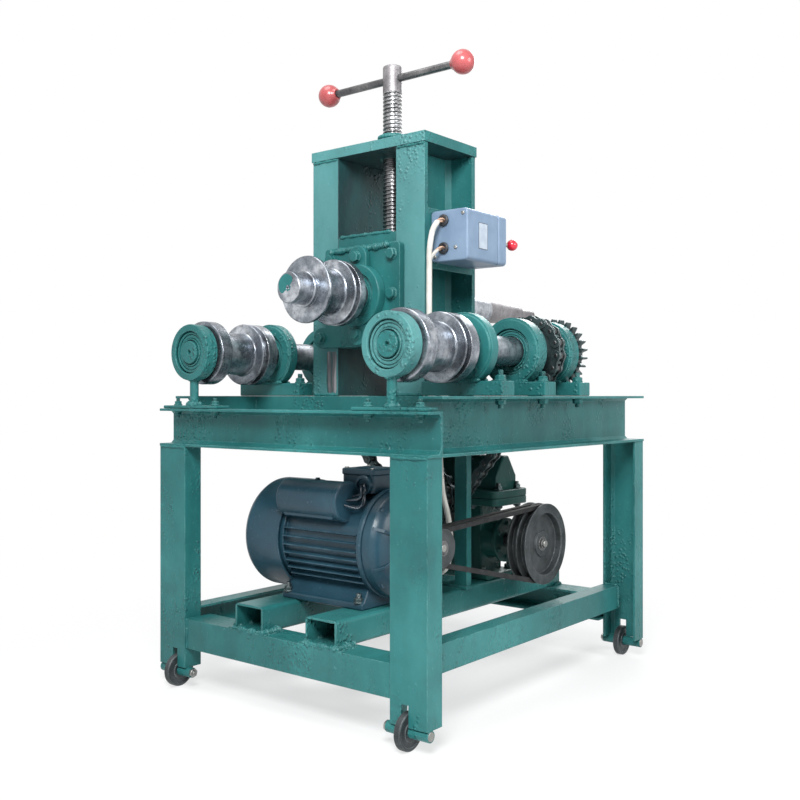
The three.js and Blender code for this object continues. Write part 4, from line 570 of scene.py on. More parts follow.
def piece(name, material, parts, replaces=(), body="frame", bevel=0.0, sharp=38, segments=2):
    """One object from a list of shapes, with smooth shading up to the sharp angle."""
    points, faces = merged(parts)
    bm = bmesh.new()
    verts = [bm.verts.new(place(p)) for p in points]
    for f in faces:
        bm.faces.new([verts[i] for i in f])
    bmesh.ops.remove_doubles(bm, verts=bm.verts, dist=2e-6)
    bmesh.ops.dissolve_degenerate(bm, dist=1e-6, edges=bm.edges)
    bmesh.ops.recalc_face_normals(bm, faces=bm.faces)
    limit = math.radians(sharp)
    for f in bm.faces:
        f.smooth = True
    for e in bm.edges:
        if len(e.link_faces) == 2 and e.calc_face_angle(0) > limit:
            e.smooth = False
    mesh = bpy.data.meshes.new(name)
    bm.to_mesh(mesh)
    bm.free()
    mesh.materials.append(material)
    made = bpy.data.objects.new(name, mesh)
    bpy.context.collection.objects.link(made)
    if bevel:
        modifier = made.modifiers.new("edges", "BEVEL")
        modifier.width, modifier.segments = bevel / 1000, segments
        modifier.limit_method, modifier.angle_limit = "ANGLE", limit
        modifier.harden_normals = True
    else:
        made.modifiers.new("shading", "WEIGHTED_NORMAL").keep_sharp = True
    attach(made, body)
    if replaces:
        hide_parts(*replaces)


# The cable and the lead

CABLE_ROUTE = [
    (178, 226, 334), (178, 221, 334), (178, 215, 334), (175, 208, 330), (168, 203, 316), (163, 202, 296),
    (160, 202, 272), (159, 203, 245), (158, 204, 200), (158, 204, 150), (157, 205, 105), (154, 212, 70),
    (152, 227, 38), (151, 241, 5), (151, 246, -60), (152, 248, -130), (156, 250, -185), (167, 250, -225),
    (174, 250, -265), (172, 252, -305), (158, 256, -335), (133, 262, -347), (108, 266, -335), (84, 268, -300),
    (66, 267, -255), (56, 256, -212), (54, 236, -180), (55, 214, -163), (56, 198, -160), (56, 185.4, -160),
]
LEAD_ROUTE = [
    (178, 226, 281), (178, 221, 281), (178, 215, 281), (175, 208, 277), (170, 204, 270), (163, 203, 262),
    (159, 203, 252),
]
ROUTE_STEPS, BARE_STEPS, SHEATH_FROM = 8, 28, 20  # the conductors run into the sheath's cut end


def strands(name, route, count, spread, radius):
    """Thin conductors side by side from the grommet into the sheath's cut end."""
    path = smooth_path(route, ROUTE_STEPS)[:BARE_STEPS]
    wires = []
    for n in range(count):
        points = []
        for i, p in enumerate(path):
            ahead = (path[min(i + 1, BARE_STEPS - 1)] - path[max(i - 1, 0)]).normalized()
            side = (Vector((1, 0, 0)) - ahead * ahead.x).normalized()
            other = ahead.cross(side)
            a = TAU * n / count + 0.05 * i
            wide = spread * (1 + 0.5 * math.sin(math.pi * i / (BARE_STEPS - 1)) * (n % 2))
            points.append(p + side * math.cos(a) * wide + other * math.sin(a) * wide)
        wires.append(tube(points, radius, 10))
    piece(name, WIRE, wires)


def cable(name, route, radius, replaces=()):
    """A sheathed cable, thin where its conductors lie bare."""
    path = smooth_path(route, ROUTE_STEPS)
    curve = bpy.data.curves.new(name, "CURVE")
    curve.dimensions = "3D"
    spline = curve.splines.new("POLY")
    spline.points.add(len(path) - 1)
    for i, (point, p) in enumerate(zip(spline.points, path)):
        point.co = (*place(p), 1)
        point.radius = min(1.0, max(0.25, 0.25 + 0.15 * (i - SHEATH_FROM)))
    curve.bevel_depth, curve.bevel_resolution, curve.use_fill_caps = radius / 1000, 5, True
    curve.materials.append(SHEATH)
    made = bpy.data.objects.new(name, curve)
    bpy.context.collection.objects.link(made)
    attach(made, "frame")
    if replaces:
        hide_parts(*replaces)


cable("supply_cable", CABLE_ROUTE, 5.5, ["motor_cable"])
cable("switch_lead", LEAD_ROUTE, 3.5)
strands("supply_strands", CABLE_ROUTE, 3, 2.7, 1.9)
strands("switch_strands", LEAD_ROUTE, 2, 2.2, 1.8)


# Rollers, shafts and screw

# nose, front face, end of the first rim, end of the barrel, the thin rim, start and end of the last rim
LOWER_STATIONS = (-3, -6, 22, 100, 105, 119, 145)
UPPER_STATIONS = (21, 29, 38, 96, 103, 115, 133)
SHAFT_END = {-1: 521.3, 1: 529.3}


def roller(stations, centre):
    nose, front, first, barrel, second, third, last = stations
    rim = 63
    return lathe([
        (29.3, nose), (33, nose), (34, nose + (1 if nose < front else -1)), (34, front), (58, front),
        (61.4, front + 0.7), (62.6, front + 1.9), (rim, front + 4), (rim, first - 2.2), (62.3, first - 0.6),
        (60.5, first), (47.5, first), (44.6, first + 0.8), (43.3, first + 2.6), (43, first + 5),
        (43, barrel - 4), (43.8, barrel - 1.4), (46.5, barrel + 0.6), (60.6, second - 2.8),
        (62.4, second - 1.7), (rim, second - 0.7), (62.4, second), (54.6, second + 0.2),
        (53.2, second + 1.2), (53, second + 2.6), (53, third - 2.6), (53.2, third - 1.2),
        (54.6, third - 0.2), (61.6, third), (62.7, third + 0.5), (rim, third + 1.6), (rim, last - 3.4),
        (62.4, last - 1.3), (60.4, last), (29.3, last),
    ], "y", centre, 96)


piece("upper_forming_roller", STEEL_Y, [roller(UPPER_STATIONS, UPPER_AXIS)], ["upper_roller"],
      "upper_drive")
for word, side in SIDES:
    piece(f"{word}_forming_roller", STEEL_Y, [roller(LOWER_STATIONS, (side * LOWER_X, LOWER_H))],
          [f"{word}_roller"], f"{word}_drive")

spindle = [(0, -10), (3, -10.4), (4, -15), (26.6, -15), (28.2, -14), (29, -12), (29, 618), (0, 618)]
taper = [(0, 618), (29, 618), (28.8, 622), (20.9, 767), (20.2, 769.6), (19, 770), (15, 770), (15, 829.4),
         (13.6, 831), (3, 831), (0, 828)]
piece("upper_spindle", STEEL_Y, [lathe(spindle, "y", UPPER_AXIS)], ["upper_shaft"], "upper_drive")
piece("upper_spindle_tail", TAPER, [lathe(taper, "y", UPPER_AXIS)], body="upper_drive")


def patch_radius(a):
    """Paint over the upper left of the shaft's end, out to its rim, with a ragged edge."""
    near = max(0.0, math.cos(a - 2.3))
    return 6.5 + 19.6 * near ** 0.3 + 0.8 * math.sin(7 * a + 1) * (1 - near)


def paint_patch(count=40):
    """A film on the shaft's end, from the centre hole to the ragged edge."""
    edge = [polar(UPPER_AXIS, patch_radius(TAU * k / count), TAU * k / count) for k in range(count)]
    points = [(u, -15.25, v) for u, v in edge + circle(UPPER_AXIS, 4.1, count)]
    points += [(u, -15.0, v) for u, v in edge]
    faces = []
    for k in range(count):
        after = (k + 1) % count
        faces.append((k, after, count + after, count + k))
    for k in range(count):
        after = (k + 1) % count
        faces.append((2 * count + k, 2 * count + after, after, k))
    return points, faces


piece("spindle_paint_patch", GREEN, [paint_patch()], body="upper_drive")

for word, side in SIDES:
    centre, drive = (side * LOWER_X, LOWER_H), f"{word}_drive"
    end = SHAFT_END[side]
    spindle = [(0, -14), (22.5, -14), (22.5, -9), (28.2, -8.4), (29, -7.4), (29, 372), (28, 373),
               (25, 373.2), (25, end - 1.4), (23.6, end), (0, end)]
    piece(f"{word}_spindle", STEEL_Y, [lathe(spindle, "y", centre, 64)], [f"{word}_shaft"], drive)
    painted = [(0, -30), (3.4, -30.6), (4.2, -37), (5.2, -38), (21.2, -38), (22.5, -36.8), (22.5, -14)]
    piece(f"{word}_spindle_end", GREEN, [lathe(painted, "y", centre, 64)], body=drive)


def thread_radius(phase):
    """A trapezoidal thread's section over one pitch."""
    crest, root = 20, 16.2
    if phase <= 0.34:
        return crest
    if phase <= 0.44:
        return crest + (root - crest) * (phase - 0.34) / 0.1
    if phase <= 0.88:
        return root
    return root + (crest - root) * (phase - 0.88) / 0.12


def screw_thread(low, high, pitch=8, sides=48, rows_per_pitch=10):
    rows = int((high - low) / pitch * rows_per_pitch)
    points = []
    for i in range(rows + 1):
        h = low + (high - low) * i / rows
        for k in range(sides):
            r = thread_radius((h / pitch - k / sides) % 1)
            points.append((*polar(SCREW_AXIS, r, TAU * k / sides), h))
    return points, grid_faces(rows + 1, sides) + end_faces(rows + 1, sides)


head = [(0, 623), (16.4, 623), (19.4, 624.5), (20, 626), (20, 676), (19.2, 678.6), (17, 680), (0, 680)]
tail = [(0, 294.2), (13.4, 294.2), (14, 295), (14, 322.5), (19, 322.5), (20, 323.2), (20, 328), (16.2, 329),
        (0, 329)]
collar = [(20.5, 487.3), (26, 487.3), (26, 534.6), (24.6, 537.6), (23, 538.3), (21.6, 538.3), (20.5, 537),
          (20.5, 487.3)]
bar = [(0, -171.7), (7.2, -171.7), (7.8, -171), (7.8, 171), (7.2, 171.7), (0, 171.7)]
piece("press_screw", STEEL_Z, [screw_thread(328, 624)], ["lift_screw"], "screw", sharp=60)
piece("press_screw_head", TAPER, [lathe(head, "z", SCREW_AXIS, 56), lathe(tail, "z", SCREW_AXIS, 48)],
      body="screw")
piece("screw_collar", GREEN, [lathe(collar, "z", SCREW_AXIS, 56)], ["screw_nut"])
piece("screw_collar_weld", GREEN, [weld(loop(SCREW_AXIS, 27, 531, 30), 4.2, 3.4, 0.4)], sharp=70)
piece("turning_bar", STEEL_X, [lathe(bar, "x", BAR_AXIS, 32)], ["tommy_bar"], "handle")

KNOB_R, KNOB_MIDDLE, MOUTH_R = 24, 177, 11.4
knob = [(0, 172), (8.1, 172), (8.1, 152.9), (9.4, 152.3), (11, 152.6)]
for i in range(1, 25):
    a = (math.pi - math.asin(MOUTH_R / KNOB_R)) * (1 - i / 25)
    seam = 0.18 if i == 12 else 0
    knob.append((KNOB_R * math.sin(a) + seam, KNOB_MIDDLE + KNOB_R * math.cos(a)))
knob.append((0, KNOB_MIDDLE + KNOB_R))
for word, side in SIDES:
    piece(f"{word}_ball", CORAL, [lathe([(r, side * at) for r, at in knob], "x", BAR_AXIS, 48)],
          [f"{word}_knob"], "handle")


# Bearings, housings and blocks

def bearing(bore, radius, face, way, centre):
    """The sunk rings of a painted bearing face: outer race, shield and inner race."""
    r = [radius - (radius - bore) * share for share in (0.0, 0.11, 0.33, 0.41, 0.48, 0.68, 0.76, 0.88)]
    steps = [
        (r[0], 8), (r[1], 8), (r[1], 5.1), (r[1] - 0.6, 4.6), (r[2] + 0.5, 4.6), (r[2], 5.2), (r[2], 8.8),
        (r[3], 8.8), (r[3], 6.3), (r[4], 5.8), (r[5], 5.8), (r[6], 9), (r[6], 4.4), (r[6] - 0.7, 3.9),
        (r[7], 3.9), (r[7], 7.6), (bore + 0.3, 8), (bore + 0.3, 10),
    ]
    return lathe([(step, face + way * depth) for step, depth in steps], "y", centre)


def housing_ring(centre, rim, bore, low, high, step=0.0):
    """A turned ring seen from the front: a chamfered rim, an optional step and the bearing's seat."""
    face = rim - step
    profile = [(bore, low + 5), (bore, low + 0.8), (bore + 0.8, low), (face - 2.4, low),
               (face - 0.6, low + 0.9), (face, low + 2.6)]
    if step:
        profile += [(face, low + 3), (rim - 0.8, low + 3.1), (rim, low + 4)]
    profile += [(rim, high - 3), (rim - 0.8, high - 1), (rim - 3, high), (bore, high)]
    return lathe(profile, "y", centre, 80)


# name, front of the bar, front and back of the ring, and the shaft's radius
BLOCKS = (("first", 176, 174, 200, 29), ("second", 324, 337, 371, 29), ("third", 460, 464, 498, 25))
BAR_TOP, FLANGE_UNDER, BAR_DEPTH = 27.3, -5, 42
FOOT_TOP, FOOT_UNDER, POST_Y = -18.7, -30, -24


def table_bolts():
    """Bolts through the block bars and housing feet, with nuts under the flanges."""
    parts = []
    for _, side in SIDES:
        for _, bar_y, *_ in BLOCKS:
            for x, nut in ((177, False), (323, True)):
                y = bar_y + BAR_DEPTH / 2
                parts.append(set_bolt((side * x, y, BAR_TOP + 0.1), "z", 1, 17, 8, True, 9))
                if nut:
                    parts.append(set_bolt((side * x, y, FLANGE_UNDER - 0.1), "z", -1, 17, 8, True, 7))
        for x in (side * LOWER_X - 56, side * LOWER_X + 56):
            parts.append(set_bolt((x, -19, FOOT_TOP + 0.1), "z", 1, 13, 6, True, 6))
            parts.append(set_bolt((x, -19, FOOT_UNDER - 0.1), "z", -1, 13, 6, True, 5))
    return parts


for word, side in SIDES:
    x, post = side * LOWER_X, (side * LOWER_X, POST_Y)
    centre = (x, LOWER_H)
    # The right ring takes the paler enamel as a painted sheen, since it faces the light
    piece(f"{word}_front_bearing_ring", SHEEN_GREEN if x > 0 else GREEN,
          [housing_ring(centre, 55.5, 42, -38, -10.2), bearing(22.9, 42, -38, 1, centre)],
          [f"{word}_front_housing"])
    piece(f"{word}_front_bearing_post", GREEN, [
        block((x - 80, x + 80), (-37, -3), (FOOT_TOP - 6, FOOT_TOP)),
        lathe([(0, -19), (8.6, -19), (8.6, 40), (0, 40)], "z", post, 32)], bevel=1.4)
    under_ring = [(u, v, LOWER_H - math.sqrt(55 ** 2 - (u - x) ** 2)) for u, v, _ in loop(post, 9.4, 0, 18)]
    piece(f"{word}_front_post_welds", GREEN, [
        weld(loop(post, 10.2, -17.2, 18), 4.0, 3, 0.6), weld(loop(post, 9.2, -13.4, 18), 2.6, 3, 0.8),
        weld(under_ring, 2.8, 3, 0.5)], sharp=70)
    for name, bar_y, low, high, bore in BLOCKS:
        piece(f"{word}_{name}_bearing_ring", GREEN,
              [housing_ring(centre, 66.5, 45, low, high, 4), bearing(bore + 0.4, 45, low, 1, centre)],
              [f"{word}_{name}_block"])
        bar = block(sorted((side * 160, side * 340)), (bar_y, bar_y + BAR_DEPTH), (0.3, BAR_TOP))
        piece(f"{word}_{name}_bar", GREEN, [bar], bevel=2.2)
        piece(f"{word}_{name}_block_welds", GREEN, [
            weld([(x - 42, y, 29), (x - 24, y, 28.2), (x + 24, y, 28.2), (x + 42, y, 29)], 3.6)
            for y in (low + 1.0, high - 1.0)], sharp=70)
piece("table_bolt_set", GREEN, table_bolts())


# Carriage: bolts, welds and the bearing flanges

def lobe(way):
    """Half of the flange's outline, above or below the shaft."""
    inner = 250 if way > 0 else 147
    end = arc((0, UPPER_H + way * 75.4), way * 24, 0, math.pi, 20)
    return [(way * 24, inner)] + end + [(-way * 24, inner)]


def flange(seat, face, name, node):
    way = 1 if face > seat else -1
    foot = sorted((seat, seat + way * 14))
    boss = [(45, face - way * 5), (45, face - way * 0.8), (45.8, face), (59, face), (61, face - way),
            (62, face - way * 3), (62, seat + way * 1.5), (60.5, seat), (45, seat)]
    rings = [lathe(boss, "y", UPPER_AXIS, 80), bearing(29.4, 45, face, -way, UPPER_AXIS)]
    lobes = [prism(lobe(half), "y", *foot) for half in (1, -1)]
    piece(name, GREEN, rings, [node], "carriage")
    piece(name + "_lobes", GREEN, lobes, body="carriage", bevel=2.5)
    bolts = [set_bolt((0, seat + way * 14.2, UPPER_H + offset), "y", way) for offset in (-76, 76)]
    piece(name + "_bolts", GREEN, bolts, body="carriage")


CARRIAGE_FRONT, CARRIAGE_REAR = 189.5, 390.5
flange(CARRIAGE_FRONT - 0.2, 169.3, "front_flange_boss", "front_bearing_flange")
flange(CARRIAGE_REAR + 0.2, 408.7, "rear_flange_boss", "rear_bearing_flange")
for word, y, way, rows in (("front", CARRIAGE_FRONT, -1, ((110, 119), (80, 276), (80, 199))),
                           ("rear", CARRIAGE_REAR, 1, ((80, 276), (80, 199), (80, 122)))):
    bolts = [set_bolt((side * x, y, h), "y", way) for x, h in rows for _, side in SIDES]
    piece(f"carriage_{word}_bolts", GREEN, bolts, body="carriage")
piece("carriage_weld", GREEN, [
    weld([(-84, 190.4, 291), (-40, 189.8, 293), (0, 190.2, 291.5), (52, 189.8, 293.5), (70, 190, 297)],
         6.2, 4.4, 0.4),
    weld([(56, 190, 299), (74, 189.6, 293)], 4.6, 3.6, 0.5),
    weld([(-72, 206, 323), (-20, 206, 323), (0, 206.5, 323), (64, 206, 323)], 3.4),
], body="carriage", sharp=70)


# Welds of the stand, the tower and the rails

RAILS = ((-125, -51), (59, 133))  # left and right edge of the two motor rails


def frame_welds():
    """The seams of one side as (points, size), and the same mirrored."""
    seams = []
    for y in (204.5, 375.5):  # column feet and tops
        seams.append(([(78, y, 2.4), (110, y, 2.2), (144, y, 2.4)], 3.4))
        seams.append(([(78, y, 484.5), (146, y, 484.5)], 2.6))
    seams.append(([(146.4, 206, 2.4), (146.4, 216, 2.4)], 3))
    for y in (-40.3, 753.3):  # tops of the legs
        seams.append(([(262, y, -101), (337, y, -101)], 2.6))
    for y in (-35.5, 748.5):  # lower rails on the legs
        seams.append(([(260.4, y, -438.8), (260.4, y, -499)], 3.0))
    for y in (0.5, 712.5):  # side rails on the legs
        seams += [([(264, y, -419), (296, y, -419)], 3.0), ([(297.8, y, -421), (297.8, y, -468)], 2.8)]
    for y in (176, 224, 321, 369, 458, 506):  # cross channels on the side beams
        seams.append(([(289.2, y, -4), (289.2, y, -60)], 2.4))
    return [weld([(side * x, y, h) for x, y, h in points], size)
            for _, side in SIDES for points, size in seams]


def rail_welds():
    """Coarse beads at the mouths of the two motor rails, where they lie on the lower rail."""
    beads = []
    for low, high in RAILS:
        edges = ((low - 2, low - 3), (high + 2, high + 3))
        for x, bulge in edges:
            beads.append(weld([(x, -29, -438.5), (bulge, -12, -438.2), (x, 16, -438.6)], 6.4, 4.4, 0.7))
        beads.append(weld([(low - 6, -31.5, -438.2), (low + 20, -32, -437.8), (high - 16, -32, -438),
                           (high + 8, -31.5, -438)], 4.6, 4, 0.7))
        for x, _ in edges:
            beads.append(weld([(x, 745, -438.5), (x, 720, -438.4)], 4.4, 4, 0.5))
    return beads


def spatter(boxes, size):
    """Small blobs of weld metal strewn over patches of flat steel."""
    parts = []
    for (x0, x1), (y0, y1), h, count in boxes:
        for _ in range(count):
            x, y, r = random.uniform(x0, x1), random.uniform(y0, y1), size * random.uniform(0.4, 1.0)
            dome = [(0, h - 0.4), (r, h - 0.4), (r * 0.85, h + r * 0.45), (r * 0.45, h + r * 0.8),
                    (0, h + r * 0.9)]
            parts.append(lathe(dome, "z", (x, y), 8))
    return parts


mouths = [((low - 14, low - 1), (-34, 14), -440, 34) for low, _ in RAILS]
mouths += [((high + 1, high + 16), (-34, 16), -440, 38) for _, high in RAILS]
mouths += [((low + 4, low + 70), (-35.5, -30), -440, 26) for low, _ in RAILS]
piece("rail_spatter", GREEN, spatter(mouths, 2.6), sharp=80)
piece("frame_weld_beads", GREEN, frame_welds(), sharp=70)
piece("motor_rail_welds", GREEN, rail_welds(), sharp=70)
piece("worn_strip", BARE, [prism(
    [(-109, 30), (-106, 8), (-97, 5), (-92, 9), (-83, 6), (-80.4, 14), (-81.5, 50), (-80.2, 84), (-84, 92),
     (-95, 90), (-101, 93), (-108, 88), (-106.5, 60)], "y", 204.72, 205.1)])


# Wheels

WHEEL_X, WHEEL_H, INNER_END, OUTER_END = 292, -546, 250, 338
tread = [(10.4, -6.5), (16, -6.5), (16.6, -5.4), (25.5, -4.6), (26, -6.3), (30.6, -6.5), (32, -5)]
for end, y in (("front", -30), ("rear", 743)):
    for word, side in SIDES:
        x = side * WHEEL_X
        profile = [(r, x + half) for r, half in tread] + [(r, x - half) for r, half in reversed(tread)]
        piece(f"{end}_{word}_roll", IRON, [lathe(profile, "x", (y, WHEEL_H), 56)], [f"{end}_{word}_wheel"],
              f"{end}_{word}")
        piece(f"{end}_{word}_axle_ends", ZINC, [
            bolt((side * INNER_END, y, WHEEL_H), "x", -side, 16, 5, False, 3),
            bolt((side * OUTER_END, y, WHEEL_H), "x", side, 16, 0.8, False)])


# Sprockets and chains

TEETH, PITCH = 16, 25.4
PITCH_R = PITCH / (2 * math.sin(math.pi / TEETH))
SPAN = 15.5 * PITCH
OUT_H = LOWER_H - math.sqrt(SPAN ** 2 - LOWER_X ** 2)
OUT_AXIS = (0, OUT_H)
LEAN = math.atan2(LOWER_H - OUT_H, LOWER_X)
ROW_Y = {-1: 390, 1: 417}  # the chains' middle planes


def chain_angle(side):
    return LEAN if side > 0 else math.pi - LEAN


def sprocket(side, centre, phase):
    """Round seats for the rollers and blunt teeth between them."""
    seat, rise, step = 8.3, 5.0, TAU / TEETH
    outline = []
    for i in range(TEETH):
        at = phase + i * step
        middle = polar(centre, PITCH_R, at)
        outline += [polar(middle, seat, at + math.pi + math.radians(20) * k) for k in range(-3, 4)]
        for share, height in ((-0.16, 0.45), (-0.09, 1), (0.09, 1), (0.16, 0.45)):
            outline.append(polar(centre, PITCH_R + rise * height, at + step / 2 + share * step))
    return prism(outline, "y", ROW_Y[side] - 5.4, ROW_Y[side] + 5.4)


def chain_pins(side):
    """The pins' places: up one run, round the driven wheel, down the other and round the output wheel."""
    angle = chain_angle(side)
    turn = angle + math.pi / 2
    driven = (side * LOWER_X, LOWER_H)
    pins = []

    def strand(start, way, first):
        for i in range(16):
            pins.append(polar(polar(start, (first + i) * PITCH * way, angle), PITCH_R * way, turn))

    def wrap(centre, start, count):
        pins.extend(polar(centre, PITCH_R, start - i * TAU / TEETH) for i in range(count))

    strand(OUT_AXIS, 1, 0)
    wrap(driven, turn - math.pi / TEETH, 8)
    strand(driven, -1, 0.5)
    wrap(OUT_AXIS, turn + math.pi - TAU / TEETH, 7)
    return pins


def link_plate(a, b, ya, yb, thick, radius):
    """A waisted plate from pin a to pin b; its ends may lie at two depths."""
    (ax, ah), (bx, bh) = a, b
    length = math.hypot(bx - ax, bh - ah)
    ux, uh = (bx - ax) / length, (bh - ah) / length
    waist = radius * 0.72
    outline = [(u, v, 0) for u, v in arc((0, 0), radius, math.pi / 2, math.pi * 1.5, 8)]
    outline.append((length / 2, -waist, 0.5))
    outline += [(u, v, 1) for u, v in arc((length, 0), radius, -math.pi / 2, math.pi / 2, 8)]
    outline.append((length / 2, waist, 0.5))
    points = [(ax + ux * s - uh * t, ya + (yb - ya) * share + offset, ah + uh * s + ux * t)
              for offset in (-thick / 2, thick / 2) for s, t, share in outline]
    return points, prism_faces(len(outline))


def chain(side, name, node):
    """Plates, rollers and pins; the last link is a cranked one, because their number is odd."""
    y = ROW_Y[side]
    pins = chain_pins(side)
    plates, rolls = [], []
    inner, outer = 7.9, 11.0
    for i, a in enumerate(pins):
        ya = yb = inner if i % 2 else outer
        if i == len(pins) - 1:
            ya, yb = outer, inner
        for way in (-1, 1):
            plates.append(link_plate(a, pins[(i + 1) % len(pins)], y + way * ya, y + way * yb, 2.6,
                                     10.3 if i % 2 else 9.8))
        rolls.append(lathe([(0, y - 6.4), (7.9, y - 6.4), (7.9, y + 6.4), (0, y + 6.4)], "y", a, 16))
        rolls.append(lathe([(0, y - 13.6), (3, y - 13.6), (3.9, y - 12.9), (3.9, y + 12.9), (3, y + 13.6),
                            (0, y + 13.6)], "y", a, 12))
    piece(name + "_plates", CHAIN, plates, [node])
    piece(name + "_rollers", LINK_STEEL, rolls)


chain(1, "right_roller_chain", "right_chain")
chain(-1, "left_roller_chain", "left_chain")


def hub(centre, low, high, radius, bore):
    return lathe([(bore, low), (radius - 1.5, low), (radius, low + 1.5), (radius, high - 1.5),
                  (radius - 1.5, high), (bore, high)], "y", centre, 48)


for word, side in SIDES:
    centre, y, drive = (side * LOWER_X, LOWER_H), ROW_Y[side], f"{word}_drive"
    teeth = sprocket(side, centre, chain_angle(side) + (math.pi + TAU / TEETH) / 2)
    piece(f"{word}_toothed_wheel", CHAIN, [teeth, hub(centre, y - 12.4, y + 12.4, 40, 25.2)],
          [f"{word}_sprocket"], drive, bevel=0.8)
    piece(f"{word}_sprocket_screw", LINK_STEEL, [bolt((centre[0], y, LOWER_H + 40.2), "z", 1, 8, 3, False)],
          body=drive)

SPARE_TEETH, SPARE_PITCH = 26, 15.875
SPARE_TOOTH = (  # share of one tooth's step, height over the pitch circle
    (-0.2, -3.6), (-0.08, -4.7), (0.08, -4.7), (0.2, -3.6), (0.28, 0.2), (0.34, 4.0), (0.40, 6.8),
    (0.45, 7.8), (0.55, 7.8), (0.60, 6.8), (0.66, 4.0), (0.72, 0.2))


def spare_outline(centre):
    """Pointed teeth with round floors, as on a sprocket for a finer chain."""
    radius = SPARE_PITCH / (2 * math.sin(math.pi / SPARE_TEETH))
    return [polar(centre, radius + height, (i + share) * TAU / SPARE_TEETH)
            for i in range(SPARE_TEETH) for share, height in SPARE_TOOTH]


centre = (LOWER_X, LOWER_H)
piece("spare_toothed_wheel", CHAIN, [
    prism(spare_outline(centre), "y", 502.6, 521), hub(centre, 502.9, 521, 36, 25.3)], ["spare_sprocket"],
    "right_drive", bevel=1.0)
end = SHAFT_END[1]
disc = [(25.2, end - 8), (31, end - 8), (34, end - 5.9), (34, end - 1.9), (32, end), (25.2, end)]
piece("end_disc", CHAIN, [lathe(disc, "y", centre, 56)], ["right_end_disc"], "right_drive")
twin = [sprocket(side, OUT_AXIS, chain_angle(side) + math.pi / 2) for side in (1, -1)]
piece("output_toothed_wheels", CHAIN, twin + [hub(OUT_AXIS, 384.6, 422.4, 40, 20.2)], ["output_sprocket"],
      "output", bevel=0.8)


# Worm reducer

WORM_Y = WORM_AXIS[0]
SOLE_H = -390.7  # underside of the feet of the reducer and the motor


def case_slab(half_x, half_y, low, high):
    return block((-half_x, half_x), (WORM_Y - half_y, WORM_Y + half_y), (low, high))


def joint_flange(low, high):
    return prism(rounded((-155, 155), (441, 571), 16), "z", low, high)


case = [case_slab(100, 40, SOLE_H, OUT_H - 0.15), case_slab(128, 58, SOLE_H, -378.7)]
case += [block((x - 5, x + 5), (450, 562), (-379, -234)) for x in (-60, 60)]
piece("reducer_case_casting", CASTING, case, ["reducer_case"], bevel=4, segments=3)
piece("reducer_lower_flange", CASTING, [joint_flange(OUT_H - 16.1, OUT_H - 0.15)], bevel=2)
boss = [(0, 98), (44, 98), (40, 104), (40, 130), (46, 131), (47, 132.5), (47, 138.6), (45.6, 140),
        (20, 140), (19, 139), (0, 139)]
bosses = []
for way in (-1, 1):
    bosses.append(lathe([(r, way * x) for r, x in boss], "x", WORM_AXIS, 64))
    for k in range(6):
        a = TAU * (k + 0.5) / 6
        bosses.append(bolt((way * 140, *polar(WORM_AXIS, 36, a)), "x", way, 9, 4, False, 0, a))
piece("worm_bosses", CASTING, bosses)
roof = [(466, OUT_H + 10), (546, OUT_H + 10), (546, -172), (516, -128), (496, -128), (466, -172)]
cover = prism(roof, "x", -138, 138)
piece("reducer_cover_casting", CASTING, [cover], ["reducer_cover"], bevel=4, segments=3)
piece("reducer_upper_flange", CASTING, [joint_flange(OUT_H + 0.15, OUT_H + 16.1)], bevel=2)
studs = []
places = [(x, y) for y in (455, 557) for x in (-86, -30, 30, 86)]
places += [(x, y) for y in (470, 542) for x in (-142, 142)]
for x, y in places:
    studs.append(set_bolt((x, y, OUT_H + 16.2), "z", 1, 14, 7, True, 6))
    studs.append(set_bolt((x, y, OUT_H - 16.2), "z", -1, 14, 6, False, 3))
studs += [set_bolt((x, y, -378.6), "z", 1, 15, 7, True, 6) for x in (-112, 112) for y in (458, 554)]
studs.append(bolt((0, WORM_Y, -127.8), "z", 1, 20, 8, True, 0, 0.2))
piece("reducer_bolts", CHAIN, studs)
cap = [(20.6, 441), (38, 441), (40, 439), (40, 434), (38, 432.4), (20.6, 432.4)]
piece("output_cap", CASTING, [lathe(cap, "y", OUT_AXIS, 56)])


# Pulleys and belts

PULLEY_FRONT, PULLEY_BACK, GROOVE_STEP = 236, 192, 20
SMALL_R, LARGE_R = 35, 84


def grooves(radius):
    """Two V-grooves between three lands."""
    rows = []
    for face in (PULLEY_FRONT, PULLEY_FRONT - GROOVE_STEP):
        rows += [(radius - 0.8, face), (radius, face - 0.8), (radius, face - 3.2), (radius - 0.8, face - 4),
                 (radius - 12, face - 7.4), (radius - 12.6, face - 12), (radius - 12, face - 16.6)]
    return rows + [(radius - 0.8, 196), (radius, 195.2), (radius, 192.8), (radius - 0.8, PULLEY_BACK)]


large = [(15.2, 228), (25.6, 228), (27, 226.6), (27, 224.6), (29, 223.6), (58, 221.5), (61.6, 222.6),
         (64, 234.8), (65.4, 236)] + grooves(LARGE_R)
large += [(64, 192), (62, 200), (27, 203), (27, 192), (15.2, 192), (15.2, 228)]
small = [(14.2, PULLEY_FRONT)] + grooves(SMALL_R) + [(14.2, PULLEY_BACK), (14.2, PULLEY_FRONT)]
piece("large_pulley", IRON, [lathe(large, "x", WORM_AXIS, 96)], ["big_pulley"], "worm")
piece("small_pulley", IRON, [lathe(small, "x", MOTOR_AXIS, 64)], ["motor_pulley"], "motor")
piece("pulley_end_screws", ZINC, [bolt((228.2, *WORM_AXIS), "x", 1, 14, 5)], body="worm")
piece("motor_end_screw", ZINC, [bolt((PULLEY_FRONT, *MOTOR_AXIS), "x", 1, 13, 0.6, False)], body="motor")


